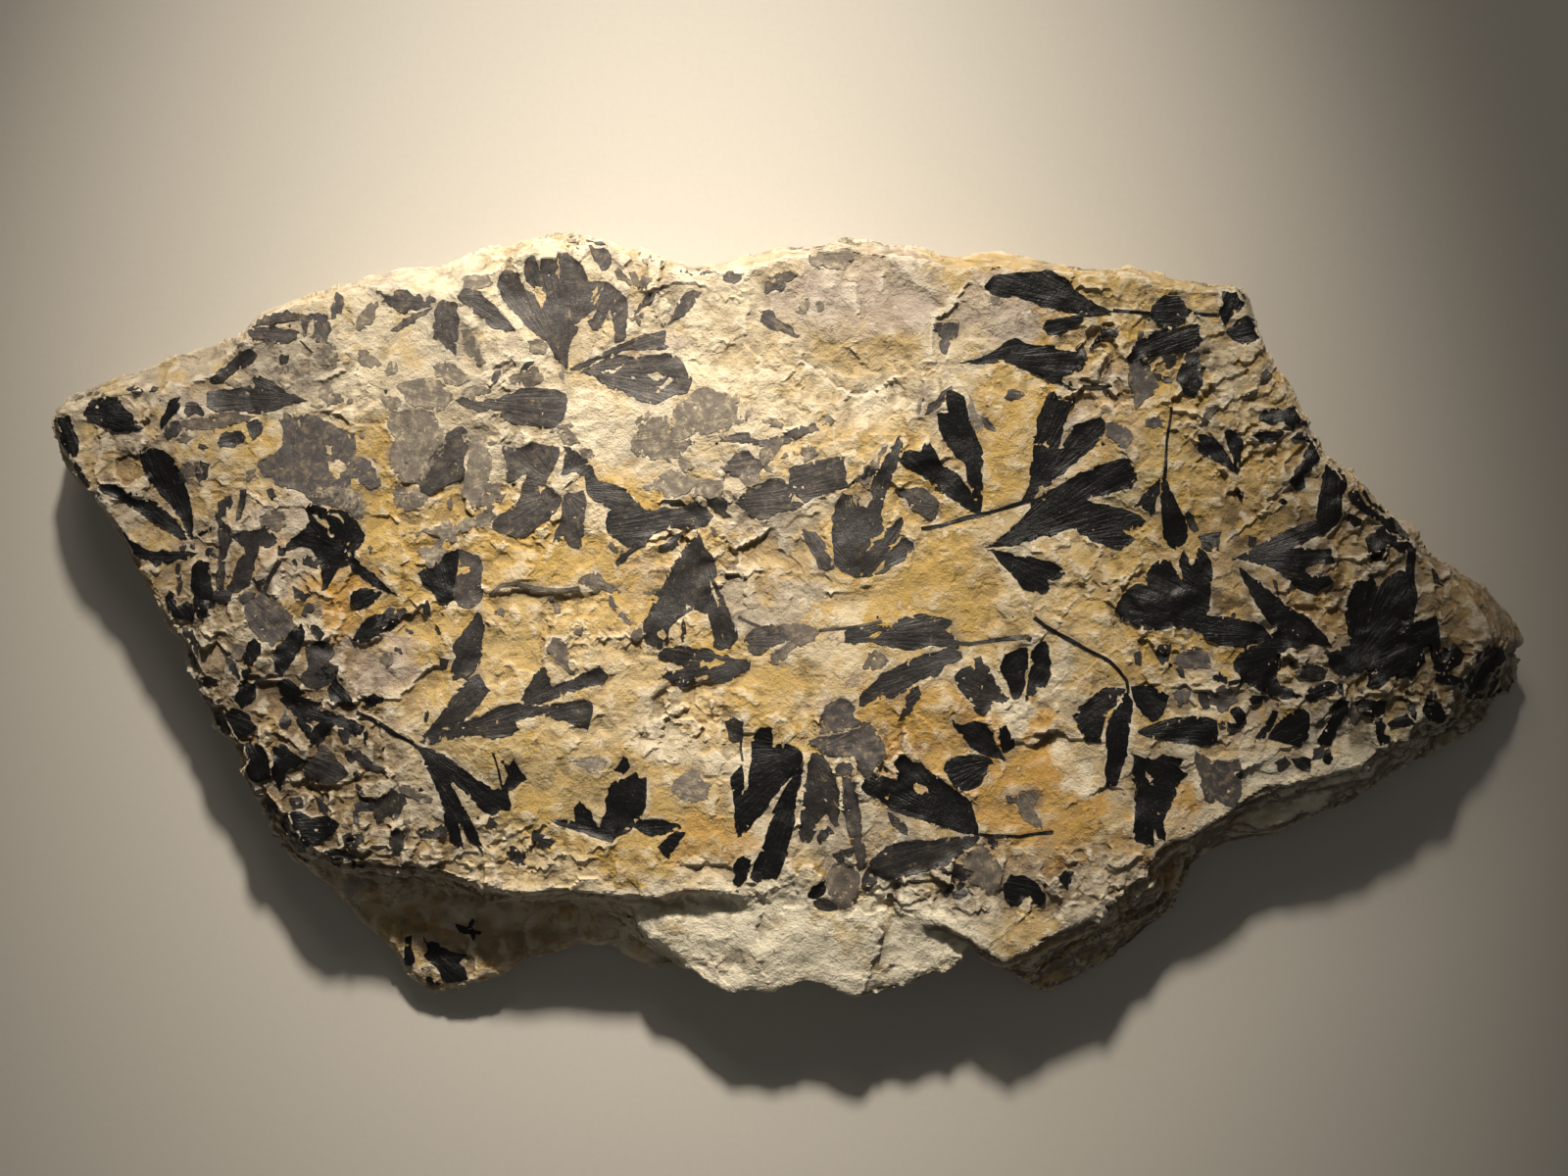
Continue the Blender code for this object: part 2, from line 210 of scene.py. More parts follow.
       "510,598 525,595 545,600 575,602 592,600", 4),)),
    ("left_edge_upper", "coal", (197, 549),
     ("140,459 147,462 155,458 164,459 172,464 180,474 187,488 192,503 196,522 197,548 190,540 182,527 "
      "172,514 160,500 152,488 145,474",), (), ()),
    ("left_edge_middle", "coal", (193, 551),
     ("100,498 106,494 115,494 125,499 133,507 142,512 150,509 158,512 166,519 176,528 184,536 192,549 "
      "185,551 172,543 160,535 148,527 135,518 120,508 108,504",), (), ()),
    ("left_edge_lower", "coal", (200, 564),
     ("120,538 127,542 133,551 142,556 152,560 165,562 185,562 200,564 193,570 180,572 170,578 160,577 "
      "150,571 140,568 130,562 124,552",), (), ()),
    ("left_cluster_strips", "worn", None,
     ("221,522 226,530 235,540 237,550 232,565 229,585 226,602 221,600 222,580 224,560 222,545",
      "222,512 235,505 238,512 230,525 222,530", "245,500 252,498 250,512 245,530 240,532",
      "186,640 196,642 200,655 203,670 204,682 198,680 191,664 186,650",
      "230,670 238,675 245,688 247,694 238,688 232,680"), (), ()),
    ("left_cluster_coal", "coal", None,
     ("196,580 203,572 213,573 215,585 218,600 220,615 212,625 207,635 200,625 197,605",
      "172,602 178,605 180,620 190,613 198,617 199,630 196,638 188,632 178,628 170,615",
      "283,556 292,558 291,567 284,566",
      "250,665 253,655 260,652 267,658 265,668 258,675 256,685 252,696 248,690 249,678"), (), ()),
    ("curved_leaf", "worn", (234, 606),
     ("236,548 245,543 262,540 272,536 280,545 283,552 275,558 265,560 262,568 258,588 250,600 243,604 "
      "234,606 232,600 236,588 242,575 252,562 245,555",), (), ()),
    ("black_blob", "coal", (352, 560),
     ("302,548 310,540 316,532 312,520 318,513 330,518 345,520 352,522 362,530 368,540 372,545 369,555 "
      "362,563 360,572 355,578 345,582 340,590 333,600 328,602 329,592 326,575 320,562 310,558 298,560 "
      "290,560 293,553", "352,560 365,572 378,582 390,592 400,603 408,610 398,606 385,600 370,590 356,578"),
     ("319,521 323,520 342,545 338,547", "334,523 337,522 353,533 351,535"), ()),
    ("blob_oval", "coal", (358, 618),
     ("356,610 360,603 372,601 388,602 390,605 383,614 375,620 365,621 358,616",), (), ()),
    ("left_ghosts", "faded_dark", None,
     ("248,620 258,612 270,607 283,612 290,622 302,628 300,640 290,652 280,659 270,655 258,645 252,632",
      "310,620 318,615 322,620 315,630 310,628"), (), ()),
    ("left_oval", "coal", (285, 686),
     ("309,636 311,645 308,658 302,670 295,682 288,688 282,685 279,672 283,662 290,652 298,643",), (), ()),
    ("left_middle_scraps", "worn", None,
     ("315,638 325,640 330,648 326,655 318,650",
      "312,660 325,655 338,660 342,668 335,675 345,682 340,695 325,702 312,700 305,690 315,680"), (), ()),
    ("branch_left", "coal", (365, 740),
     ("284,714 290,711 305,711 318,715 330,722 342,728 355,733 365,738 355,741 343,740 335,738 322,735 "
      "310,735 302,728 293,722", "300,725 310,735 318,745 322,757 315,752 305,740"), (), (("364,726 "
       "378,732 393,742 405,750 422,759", 4),)),
    ("lower_left_coal", "coal", None,
     ("218,727 230,728 238,722 248,725 256,735 262,741 258,748 248,752 240,757 230,750 222,740",
      "241,775 248,760 258,757 270,765 274,772 275,795 262,797 252,793 245,783",
      "279,762 290,761 297,766 305,772 312,777 303,782 295,786 290,795 285,808 281,800 279,785",
      "290,832 305,828 320,833 335,830 346,840 340,852 325,862 310,866 298,858 288,846"), (), ()),
    ("lower_left_worn", "worn", None,
     ("327,760 335,762 343,772 350,783 355,790 345,798 335,800 325,796 315,797 310,790 310,780 318,772 "
      "325,768", "360,765 370,768 378,775 388,780 394,783 385,786 375,784 365,778",
      "380,815 390,812 402,806 412,810 415,820 405,822 395,830 392,840 385,838 380,825",
      "423,849 432,845 440,848 447,852 438,856 430,852", "322,816 330,813 335,825 333,830 326,826",
      "295,814 306,812 310,822 298,825"), (), ()),
    ("lower_left_ghosts", "faded", None,
     ("405,800 418,802 430,808 442,815 438,820 425,815 412,810", "412,835 418,836 418,858 412,856"), (), ()),
    ("split_leaf", "coal", (420, 758),
     ("420,758 430,762 440,764 455,772 470,782 483,792 495,800 505,804 515,805 522,818 520,825 512,827 "
      "500,832 492,828 480,815 468,803 462,797 460,800 467,812 472,822 480,835 487,850 493,863 487,864 "
      "478,855 472,843 468,838 471,852 473,865 467,863 460,857 456,845 453,832 450,820 447,808 442,796 "
      "437,785 430,772",), (), ()),
    ("split_leaf_scrap", "coal", None,
     ("513,778 520,780 525,773 528,780 533,787 538,795 530,800 522,806 516,810 512,803 516,798 519,790",),
     (), (("503,769 508,785 513,807", 2),)),
    ("terrace_leaves", "coal", None,
     ("414,957 419,955 420,968 423,978 420,985 413,985 412,975 414,965",
      "432,955 437,960 448,962 452,968 465,972 475,975 468,982 475,990 478,998 468,1002 458,1003 450,995 "
      "445,985 437,983 432,975 436,970"), (), ()),
    ("great_ghost", "faded_dark", (300, 520),
     ("262,470 275,465 288,455 290,440 285,430 290,422 305,423 320,424 335,430 350,437 362,443 365,455 "
      "362,465 375,470 385,480 389,495 378,500 370,492 360,488 355,500 365,510 372,525 365,530 350,520 "
      "335,515 320,512 305,500 290,498 280,490 268,485",), ("330,455 338,454 340,461 332,463",
      "335,472 345,469 350,478 345,489 337,486", "256,486 268,487 275,494 266,500 257,497"), ()),
    ("middle_ghosts", "ghost", None,
     ("393,435 400,420 415,418 430,418 445,425 450,440 455,455 448,470 440,480 430,490 415,492 402,480 "
      "398,465 402,450", "405,392 425,386 445,388 458,396 462,408 450,420 430,416 412,408",
      "402,502 418,500 436,503 440,510 425,515 406,512", "537,348 548,346 560,352 555,363 542,362",
      "442,374 456,370 470,376 478,388 466,394 450,388"), (), ()),
    ("right_of_crown_ghost", "ghost", (712, 448),
     ("685,425 690,415 700,405 712,397 722,393 733,398 745,400 753,402 755,410 752,425 748,435 735,440 "
      "720,442 705,445 690,450 682,450 683,435",
      "655,498 665,490 680,482 695,481 708,485 712,492 700,502 685,506 670,503"), (), ()),
    ("middle_oval_ghosts", "faded_dark", None,
     ("735,480 742,470 752,463 765,462 775,468 780,475 772,482 760,485 748,485",
      "735,450 745,443 760,441 772,447 785,447 805,440 820,435 830,432 835,440 820,445 805,450 790,455 "
      "775,456 755,452"), (), ()),
    ("crest_ghost", "ghost", None,
     ("825,258 835,254 845,256 855,257 868,253 871,262 865,268 862,276 850,275 838,274 828,268",), (), ()),
    ("upper_right_leaf", "coal", (1137, 318),
     ("1005,292 1010,285 1015,281 1030,279 1045,278 1060,277 1072,276 1080,280 1087,285 1093,290 1098,298 "
      "1107,302 1115,308 1125,313 1137,317 1130,320 1118,319 1105,318 1090,318 1075,315 1060,312 1045,306 "
      "1030,302 1018,302 1010,296",
      "1135,320 1120,322 1108,327 1098,333 1088,337 1078,342 1068,342 1065,335 1068,327 1080,325 1092,322 "
      "1105,319 1120,317"), (), (("1136,317 1160,319 1178,320", 3),)),
    ("upper_right_wing", "coal", (978, 369),
     ("978,369 988,368 998,365 1008,360 1018,355 1025,349 1032,345 1040,345 1047,350 1060,352 1072,352 "
      "1080,357 1090,359 1100,360 1107,368 1104,378 1095,380 1085,383 1083,388 1092,394 1100,399 1090,397 "
      "1080,392 1068,388 1058,383 1048,378 1035,372 1022,369 1008,370 995,371",
      "1112,355 1118,345 1125,338 1122,333 1132,335 1142,338 1138,345 1128,345 1120,352 1113,358"), (),
     (("1105,394 1120,394 1135,394", 2),)),
    ("upper_right_worn", "dull", None,
     ("953,330 965,329 980,328 978,340 970,350 965,362 960,358 958,345",
      "945,422 947,412 955,408 962,400 972,394 970,402 962,410 958,415 952,420",
      "1025,406 1028,397 1035,397 1045,402 1038,407", "1000,425 1008,426 1013,433 1015,440 1005,436"), (),
     ()),
    ("big_leaf_upper", "coal", (1043, 512),
     ("1041,513 1048,498 1052,480 1053,462 1056,445 1058,430 1064,415 1071,401 1076,400 1080,407 1088,409 "
      "1098,405 1097,412 1092,420 1088,432 1084,446 1083,458 1088,448 1095,435 1105,430 1115,428 1123,425 "
      "1128,430 1126,442 1118,452 1108,462 1098,472 1085,483 1072,492 1060,500 1052,510",), ("1062,453 "
      "1068,451 1071,456 1065,458",), (("940,539 960,536 985,528 1010,523 1035,515 1056,509", 4),)),
    ("big_leaf_lower", "coal", (1008, 560),
     ("1006,559 1015,553 1025,545 1035,535 1045,525 1053,518 1052,512 1060,507 1072,500 1085,492 1095,487 "
      "1108,480 1120,475 1135,470 1148,466 1155,470 1158,480 1160,490 1155,497 1148,500 1135,503 1120,506 "
      "1108,509 1120,513 1135,516 1148,520 1160,525 1168,530 1165,537 1158,540 1145,540 1150,545 1158,550 "
      "1153,555 1147,556 1143,562 1135,560 1125,556 1112,551 1105,545 1098,541 1090,540 1080,543 1070,546 "
      "1055,550 1040,555 1025,557",
      "1008,560 1020,563 1035,566 1050,569 1065,572 1080,578 1087,585 1080,590 1067,591 1072,600 1067,606 "
      "1058,605 1048,602 1040,595 1030,585 1020,573"), (), ()),
    ("big_leaf_ghost", "faded_dark", (1043, 512),
     ("1128,432 1140,430 1150,438 1155,448 1148,458 1138,452 1128,445",), (), ()),
    ("v_leaf", "coal", (1000, 527),
     ("1000,527 992,522 980,515 968,507 955,498 945,488 935,482 922,475 918,470 922,463 928,458 938,460 "
      "944,452 950,455 957,465 962,475 975,482 985,495 995,508",
      "1000,527 1001,510 1002,480 1002,460 998,447 993,435 988,420 985,407 975,400 968,397 966,408 968,420 "
      "955,423 957,435 962,445 968,455 975,465 982,470 986,485 992,502"), (), ()),
    ("oval_lobed_leaf", "worn", (880, 588),
     ("850,570 849,550 850,530 853,515 860,503 868,505 874,504 880,512 887,512 886,500 890,490 897,478 "
      "905,465 912,452 918,443 920,450 919,465 915,478 908,492 903,505 900,520 900,535 905,540 915,533 "
      "920,527 921,535 917,545 925,548 932,553 932,560 925,568 915,575 905,583 895,586 885,588 870,588 "
      "860,583 853,577", "876,490 885,478 895,470 893,480 886,490"), ("869,504 874,506 872,517",
      "884,500 889,505 887,521 883,512", "907,536 901,548 891,556 883,563 891,551 901,541",
      "926,546 917,556 905,563 914,552", "906,571 899,580 889,586 896,576"), ()),
    ("v_leaf_neighbours", "dull", (957, 518),
     ("913,500 925,498 935,497 945,500 955,507 960,512 957,520 955,528 948,528 940,524 930,517 920,508",),
     (), ()),
    ("slant_strap", "dull", None,
     ("818,541 824,540 832,543 838,550 843,560 848,570 853,580 845,581 836,579 832,570 826,558 821,549",),
     (), ()),
    ("worn_ovals", "dull", None,
     ("805,480 812,475 825,472 840,468 855,466 862,470 864,480 863,490 866,495 855,500 842,503 830,508 "
      "820,512 812,505 803,500",
      "751,512 758,503 768,495 780,490 795,489 805,492 808,500 812,510 820,513 812,520 800,522 790,525 "
      "780,530 770,528 760,522"), (), ()),
    ("right_pair_upper", "coal", None,
     ("1173,320 1175,312 1182,305 1192,301 1202,302 1208,308 1212,314 1218,317 1213,322 1208,328 1202,333 "
      "1195,335 1185,333 1178,328",
      "1157,352 1162,347 1172,342 1180,337 1190,335 1200,335 1210,333 1220,330 1225,333 1223,340 1227,348 "
      "1222,353 1212,357 1202,360 1190,362 1180,363 1168,366 1158,370 1152,372 1150,365",
      "1202,380 1205,373 1213,369 1222,370 1230,374 1228,383 1228,392 1222,400 1218,407 1210,403 1205,395 "
      "1200,388"), (), (("1218,319 1232,321 1245,321", 3),)),
    ("right_corner_pair", "coal", None,
     ("1246,302 1248,296 1255,298 1262,297 1268,298 1271,305 1268,313 1262,318 1255,325 1250,333 1246,328 "
      "1244,318 1247,310",
      "1252,338 1258,333 1265,325 1272,322 1278,325 1281,330 1284,338 1284,345 1276,350 1268,351 1260,346 "
      "1253,342"), (), ()),
    ("right_speckled", "faded_dark", None,
     ("1152,372 1160,368 1170,370 1175,378 1182,385 1180,395 1172,405 1165,412 1158,418 1155,405 1152,390",
      "1268,406 1275,398 1284,396 1280,402", "1225,425 1232,415 1245,413 1240,420 1232,430 1225,437"), (),
     ()),
    ("right_strips", "coal", None,
     ("1285,422 1292,417 1305,417 1320,416 1330,418 1335,425 1338,433 1330,434 1322,433 1320,440 1310,430 "
      "1298,432 1290,432 1284,428", "1278,445 1288,442 1300,441 1312,441 1308,446 1298,451 1285,450",
      "1318,448 1325,441 1338,443 1348,446 1340,450 1328,450"), (), ()),
    ("right_v_leaf", "coal", (1262, 485),
     ("1262,485 1255,480 1245,473 1235,468 1226,463 1221,458 1222,450 1221,443 1230,443 1240,448 1248,456 "
      "1253,465 1258,475",
      "1262,485 1258,472 1255,460 1252,448 1250,440 1257,437 1262,441 1267,450 1266,462 1266,475"), (), ()),
    ("right_edge_leaves", "coal", None,
     ("1316,492 1320,480 1328,470 1332,460 1337,450 1345,446 1351,450 1350,460 1345,472 1338,480 1330,487 "
      "1332,497 1322,500",
      "1354,470 1360,470 1367,477 1372,487 1374,495 1368,505 1370,525 1362,537 1348,540 1343,522 1345,505 "
      "1348,490 1352,478",
      "1373,503 1380,499 1392,500 1402,502 1405,512 1413,523 1422,530 1430,538 1420,538 1408,532 1395,525 "
      "1385,518 1378,512"), (), ()),
    ("stalk_pair", "coal", (1187, 487),
     ("1187,487 1193,492 1195,500 1200,510 1204,520 1208,530 1212,540 1210,550 1205,557 1200,562 1192,555 "
      "1187,545 1185,530 1185,515 1184,503",
      "1187,487 1180,493 1172,498 1163,507 1157,515 1165,518 1170,520 1175,526 1178,520 1180,510 1183,500"),
     (), (("1195,415 1194,430 1191,450 1190,470 1188,489", 3),)),
    ("right_fork", "coal", (1257, 570),
     ("1257,570 1270,564 1282,557 1295,549 1308,543 1322,537 1335,532 1350,530 1362,532 1360,540 1350,546 "
      "1338,550 1325,555 1318,560 1330,560 1345,560 1358,561 1362,574 1350,575 1338,577 1330,580 1336,586 "
      "1345,588 1355,587 1361,593 1355,598 1345,604 1338,605 1330,602 1320,597 1312,590 1305,583 1290,577 "
      "1275,573",), (), ()),
    ("right_wedge", "coal", (1262, 578),
     ("1262,578 1268,580 1278,588 1290,597 1302,608 1312,617 1325,625 1335,632 1345,642 1352,650 1360,657 "
      "1345,658 1325,652 1310,645 1297,637 1288,625 1280,613 1273,600 1267,590",), (), ()),
    ("right_fan", "coal", (1300, 650),
     ("1137,622 1143,612 1150,603 1162,596 1172,598 1168,588 1172,580 1180,574 1187,568 1194,573 1199,582 "
      "1205,592 1207,588 1202,575 1207,562 1212,568 1214,578 1218,575 1220,563 1225,558 1232,565 1237,580 "
      "1236,600 1234,618 1233,628 1245,630 1258,630 1270,632 1280,635 1290,640 1300,650 1290,655 1275,657 "
      "1262,660 1250,658 1235,655 1222,645 1210,640 1195,640 1180,643 1165,642 1150,635 1142,630",), (), ()),
    ("right_dark_mass", "coal", (1340, 658),
     ("1270,660 1290,655 1300,645 1310,640 1325,650 1340,658 1330,662 1315,660 1305,668 1308,680 1302,690 "
      "1308,700 1320,705 1330,712 1318,712 1305,712 1290,705 1278,700 1268,693 1260,683 1258,675 1264,670",),
     (), ()),
    ("right_black_fan", "coal", (1375, 686),
     ("1373,620 1378,605 1382,597 1385,593 1395,592 1400,588 1405,602 1412,593 1420,585 1430,582 1436,580 "
      "1438,590 1437,605 1438,620 1435,632 1434,640 1445,635 1458,631 1465,628 1468,640 1468,655 1460,660 "
      "1450,662 1440,668 1430,672 1415,675 1400,682 1385,688 1372,690 1362,685 1355,675 1358,665 1368,660 "
      "1378,658 1375,645 1373,632",), (), ()),
    ("right_ghost", "faded_dark", None,
     ("1197,675 1205,665 1218,660 1228,662 1233,672 1236,682 1220,680 1208,680",), (), ()),
    ("lower_right_scraps", "coal", None,
     ("1237,690 1245,686 1252,692 1250,698 1240,695",
      "1330,712 1335,703 1345,697 1357,695 1365,700 1360,708 1348,712 1338,715",
      "1293,752 1300,742 1308,733 1318,727 1330,722 1337,732 1335,745 1333,755 1325,762 1312,758 1302,755",
      "1343,757 1350,747 1355,735 1360,722 1368,713 1377,715 1375,727 1368,738 1362,750 1358,760 1350,762",
      "1318,775 1330,772 1338,775 1338,788 1330,788 1322,782",
      "1403,735 1410,733 1415,740 1413,748 1420,752 1415,760 1408,761 1405,750",
      "1415,738 1425,732 1435,728 1440,733 1445,738 1435,742 1422,742",
      "1434,716 1440,718 1446,728 1444,735 1440,730 1436,722"), (), ()),
    ("hanging_leaf", "coal", (1150, 698),
     ("1095,730 1102,722 1112,713 1122,705 1130,701 1140,700 1148,702 1140,715 1130,728 1125,745 1122,758 "
      "1110,758 1103,748 1098,740",
      "1150,703 1155,715 1155,730 1152,745 1150,760 1148,775 1143,790 1138,802 1130,802 1128,785 1130,768 "
      "1128,750 1132,735 1140,718",
      "1155,700 1168,700 1180,703 1192,710 1188,722 1183,732 1175,736 1165,728 1158,715"), (),
     (("1055,630 1065,638 1080,647 1095,655 1108,662 1120,668 1132,675 1142,685 1150,695 1152,707", 4),)),
    ("lower_black_strap", "coal", (1160, 750),
     ("1160,745 1170,740 1185,735 1200,732 1215,731 1230,731 1242,733 1243,745 1242,758 1230,762 1215,760 "
      "1200,758 1185,755 1170,752",), (), ()),
    ("lower_black_leaf", "coal", (1165, 768),
     ("1155,768 1165,772 1178,775 1185,770 1198,772 1208,775 1202,783 1212,790 1205,797 1200,803 1198,815 "
      "1192,828 1187,838 1190,850 1190,857 1183,855 1178,845 1178,863 1170,862 1160,858 1156,850 1157,835 "
      "1158,805 1155,790",), ("1170,790 1176,791 1175,797 1170,796", "1173,801 1177,802 1176,806 1173,805"),
     ()),
    ("lower_speckled", "faded_dark", None,
     ("1218,765 1225,770 1235,778 1245,775 1255,778 1265,775 1268,785 1268,800 1265,815 1260,825 1250,820 "
      "1240,815 1232,820 1228,808 1224,795 1220,780",), (), ()),
    ("striated_leaf", "worn", (861, 652),
     ("861,655 860,645 870,641 885,639 900,638 908,640 918,632 930,628 942,627 955,630 965,631 972,634 "
      "968,642 975,650 980,655 978,662 965,660 950,658 938,662 925,663 912,660 900,658 888,655 875,657",),
     ("891,648 899,643 909,643 906,647 896,650", "966,642 970,641 978,653 974,654"), (("980,657 990,657 "
       "1005,654 1025,652 1045,650 1052,653", 4),)),
    ("striated_ghost", "faded", None,
     ("878,680 885,670 893,663 902,668 905,675 898,682 888,683",), (), ()),
    ("curved_sweep", "worn", (985, 668),
     ("875,718 878,710 885,702 895,693 905,685 918,678 932,672 945,668 958,664 968,660 980,665 985,668 "
      "975,675 965,680 958,688 950,692 940,693 930,700 920,708 910,712 900,712 888,716 880,722",
      "917,735 920,725 925,712 930,702 938,700 940,708 935,718 925,728"), (), ()),
    ("trident_left", "worn", (1035, 716),
     ("975,690 980,682 990,680 995,685 993,672 998,670 1003,675 1010,685 1017,697 1023,707 1030,712 "
      "1025,718 1015,715 1010,722 1003,728 995,725 988,715 980,705",), (), ()),
    ("trident_right", "coal", (1040, 716),
     ("1020,680 1025,670 1035,663 1047,660 1050,668 1048,680 1046,692 1045,705 1040,713 1033,710 1028,700 "
      "1024,690",
      "1050,690 1051,678 1053,665 1058,656 1066,655 1070,662 1072,682 1070,692 1062,702 1055,708 1046,715 "
      "1048,703"), (), ()),
    ("orange_patch_leaves", "coal", (1024, 772),
     ("971,735 985,738 992,735 1002,738 1010,745 1017,757 1023,768 1025,775 1012,772 1000,768 990,760 "
      "982,750 975,742", "1018,742 1026,740 1032,748 1035,760 1030,765 1024,768 1020,755",
      "962,785 965,778 975,772 988,770 1000,770 1012,773 1015,778 1008,782 1005,790 1000,800 992,805 "
      "982,806 974,802 968,793"), (), ()),
    ("veined_ghost", "faded_dark", (828, 768),
     ("836,750 838,735 843,721 855,714 864,715 872,719 874,733 878,738 868,743 852,747",
      "822,761 832,755 850,750 869,746 888,735 896,747 904,764 903,775 893,784 889,794 881,792 874,778 "
      "870,770 845,772 836,764", "853,784 855,778 864,777 870,781 869,790 860,794 854,790"), (), ()),
    ("down_fan_left", "coal", (820, 765),
     ("763,800 765,780 768,755 777,742 787,742 790,752 789,763 796,759 808,761 818,767 819,775 812,787 "
      "802,798 792,811 783,824 772,837 761,850 753,854 750,840 749,820 746,805 745,793 750,787 757,780 "
      "759,795 758,812", "750,880 758,873 767,878 765,888 760,898 752,905 747,900 749,890"), (), ()),
    ("down_fan_middle", "coal", (825, 770),
     ("820,778 817,797 812,820 809,842 802,872 794,896 783,897 774,900 765,895 770,880 778,862 787,836 "
      "801,805 812,788",), (), (("818,782 800,808 789,830", 3),)),
    ("down_fan_right", "worn", (825, 770),
     ("827,770 832,766 840,773 850,789 857,806 855,828 857,841 852,845 846,836 841,828 835,839 830,853 "
      "825,860 817,856 815,849 818,822 822,794", "740,736 748,732 757,736 758,748 754,757 744,757"), (),
     (("757,752 756,764 758,776", 3),)),
    ("long_leaf_upper", "coal", (1000, 852),
     ("915,772 922,770 930,778 940,777 948,785 958,793 968,800 978,808 987,815 992,825 997,840 1000,852 "
      "985,850 965,845 945,838 925,832 910,825 900,818 888,812 880,803 880,795 892,791 905,792 915,797 "
      "918,788 912,780",), ("932,800 938,801 944,806 946,811 940,810 935,806",), (("999,851 1020,853 "
       "1040,854 1055,851 1075,849", 3),)),
    ("long_leaf_lower", "worn", (1000, 852),
     ("1000,852 996,860 984,868 972,876 958,884 940,890 922,895 908,898 898,893 890,888 888,880 895,870 "
      "905,863 918,859 935,858 950,857 965,856 980,853", "903,825 912,832 922,840 928,850 918,850 910,842"),
     (), ()),
    ("lower_middle_ghosts", "faded", None,
     ("1026,812 1035,811 1045,810 1055,807 1061,812 1055,818 1058,828 1063,838 1066,846 1058,845 1048,840 "
      "1042,830 1035,820",
      "982,885 990,870 1000,862 1010,865 1018,880 1020,895 1018,912 1008,915 998,905 988,900",
      "840,900 845,888 858,880 870,885 877,898 875,912 868,922 858,928 850,922 846,912"), (), ()),
    ("lower_edge_coal", "coal", None,
     ("1025,900 1032,893 1042,893 1052,896 1060,903 1065,910 1068,920 1060,925 1052,915 1045,915 1040,923 "
      "1032,926 1027,918 1024,908", "1080,893 1088,888 1095,890 1093,900 1088,908 1083,900",
      "823,915 828,905 838,900 845,895 843,905 840,913 830,917"), (), ()),
    ("lower_edge_worn", "dull", None,
     ("830,920 840,917 850,920 855,928 845,930 835,927",
      "858,792 872,795 876,820 880,850 884,880 876,888 868,860 862,830"), (), ()),
    ("lower_cluster", "coal", (630, 850),
     ("562,836 578,836 588,838 586,824 591,817 598,824 606,833 609,843 613,845 617,826 619,808 623,799 "
      "634,796 642,791 648,787 653,793 661,793 660,814 656,829 650,838 646,845 635,852 623,858 612,856 "
      "596,850 580,844 569,841", "627,785 633,777 635,771 642,775 643,782 635,790"), (), ()),
    ("lower_cluster_right", "coal", (652, 846),
     ("646,843 652,836 662,836 677,837 694,841 696,845 681,850 662,852",
      "690,848 700,850 695,858 688,867 681,876 675,870 670,863 678,857"), (), ()),
    ("lower_ghosts", "ghost", None,
     ("685,800 695,790 705,785 715,785 718,795 725,800 722,815 712,820 700,818 688,808",
      "582,775 595,772 610,770 620,778 612,787 598,786"), (), ()),
    ("right_low_patches", "coal", None,
     ("1396,690 1406,677 1424,669 1440,660 1452,664 1455,675 1446,684 1441,694 1424,690 1413,697 1402,704 "
      "1394,700", "1402,538 1418,535 1434,543 1441,556 1434,566 1422,558 1406,552",
      "1508,668 1520,658 1532,662 1536,672 1530,684 1528,690 1536,700 1530,708 1516,712 1500,712 1490,706 "
      "1489,697 1498,690 1504,680", "1293,737 1299,724 1305,726 1300,738 1291,752 1279,757 1284,748"), (),
     (("1441,556 1438,580 1442,610 1437,640", 9), ("1352,664 1366,676 1382,684", 5))),
    ("right_brown_patches", "faded_dark", None,
     ("1236,705 1246,701 1258,705 1264,714 1256,722 1244,724 1235,716",
      "1195,706 1206,703 1216,708 1212,716 1202,718", "1286,380 1293,375 1298,383 1294,392 1287,390",
      "1170,428 1178,425 1187,427 1186,435 1176,438 1169,434", "1376,722 1386,716 1392,726 1384,740 "
      "1376,736"), (), ()),
    ("right_ovals", "worn", None,
     ("1322,685 1330,678 1342,677 1354,684 1352,691 1340,694 1328,692",
      "1184,358 1193,362 1201,362 1197,375 1190,376", "1340,764 1352,760 1350,772 1338,776",
      "1300,778 1312,772 1318,780 1306,788"), (), ()),
    ("left_extra_worn", "worn", None,
     ("252,803 262,806 272,812 280,818 286,830 276,832 266,824 256,814",
      "187,421 190,413 197,410 204,413 209,420 206,425 198,421 192,425",
      "217,604 226,599 236,603 236,612 226,616 218,612", "243,610 252,603 262,606 258,614 248,618",
      "205,470 214,474 210,486 203,492 200,482", "181,482 190,478 193,490 184,494",
      "300,598 308,602 316,606 310,612 300,608", "384,628 396,622 412,620 420,626 410,634 396,640 382,642"),
     (), (("285,572 275,590 270,604", 5), ("258,590 268,604 282,612", 3))),
    ("left_extra_faded", "faded", None,
     ("190,474 199,470 210,474 207,483 199,487 191,490 185,481", "251,481 261,476 263,487 254,490 250,488",
      "264,531 272,524 284,520 291,525 292,535 283,541 272,538", "186,440 196,444 192,452 182,450",
      "236,664 244,658 252,664 246,674 238,674", "388,668 400,664 402,674 396,680 389,676"), (), ()),
    ("lower_left_extra", "coal", None,
     ("286,690 296,694 304,702 312,708 300,712 288,710 282,700", "201,693 212,690 222,694 220,700 206,700",
      "245,700 254,696 262,702 258,716 248,722 240,714", "330,676 344,680 342,690 330,694 318,690",
      "376,630 392,626 408,628 402,640 386,648 372,656 360,654 366,642",
      "372,712 380,708 390,712 384,720 374,720", "290,850 300,856 312,866 324,872 318,880 306,876 296,866",
      "326,868 344,866 362,874 376,880 370,886 350,880 332,878"), (), ()),
    ("lower_edge_marks", "worn", None,
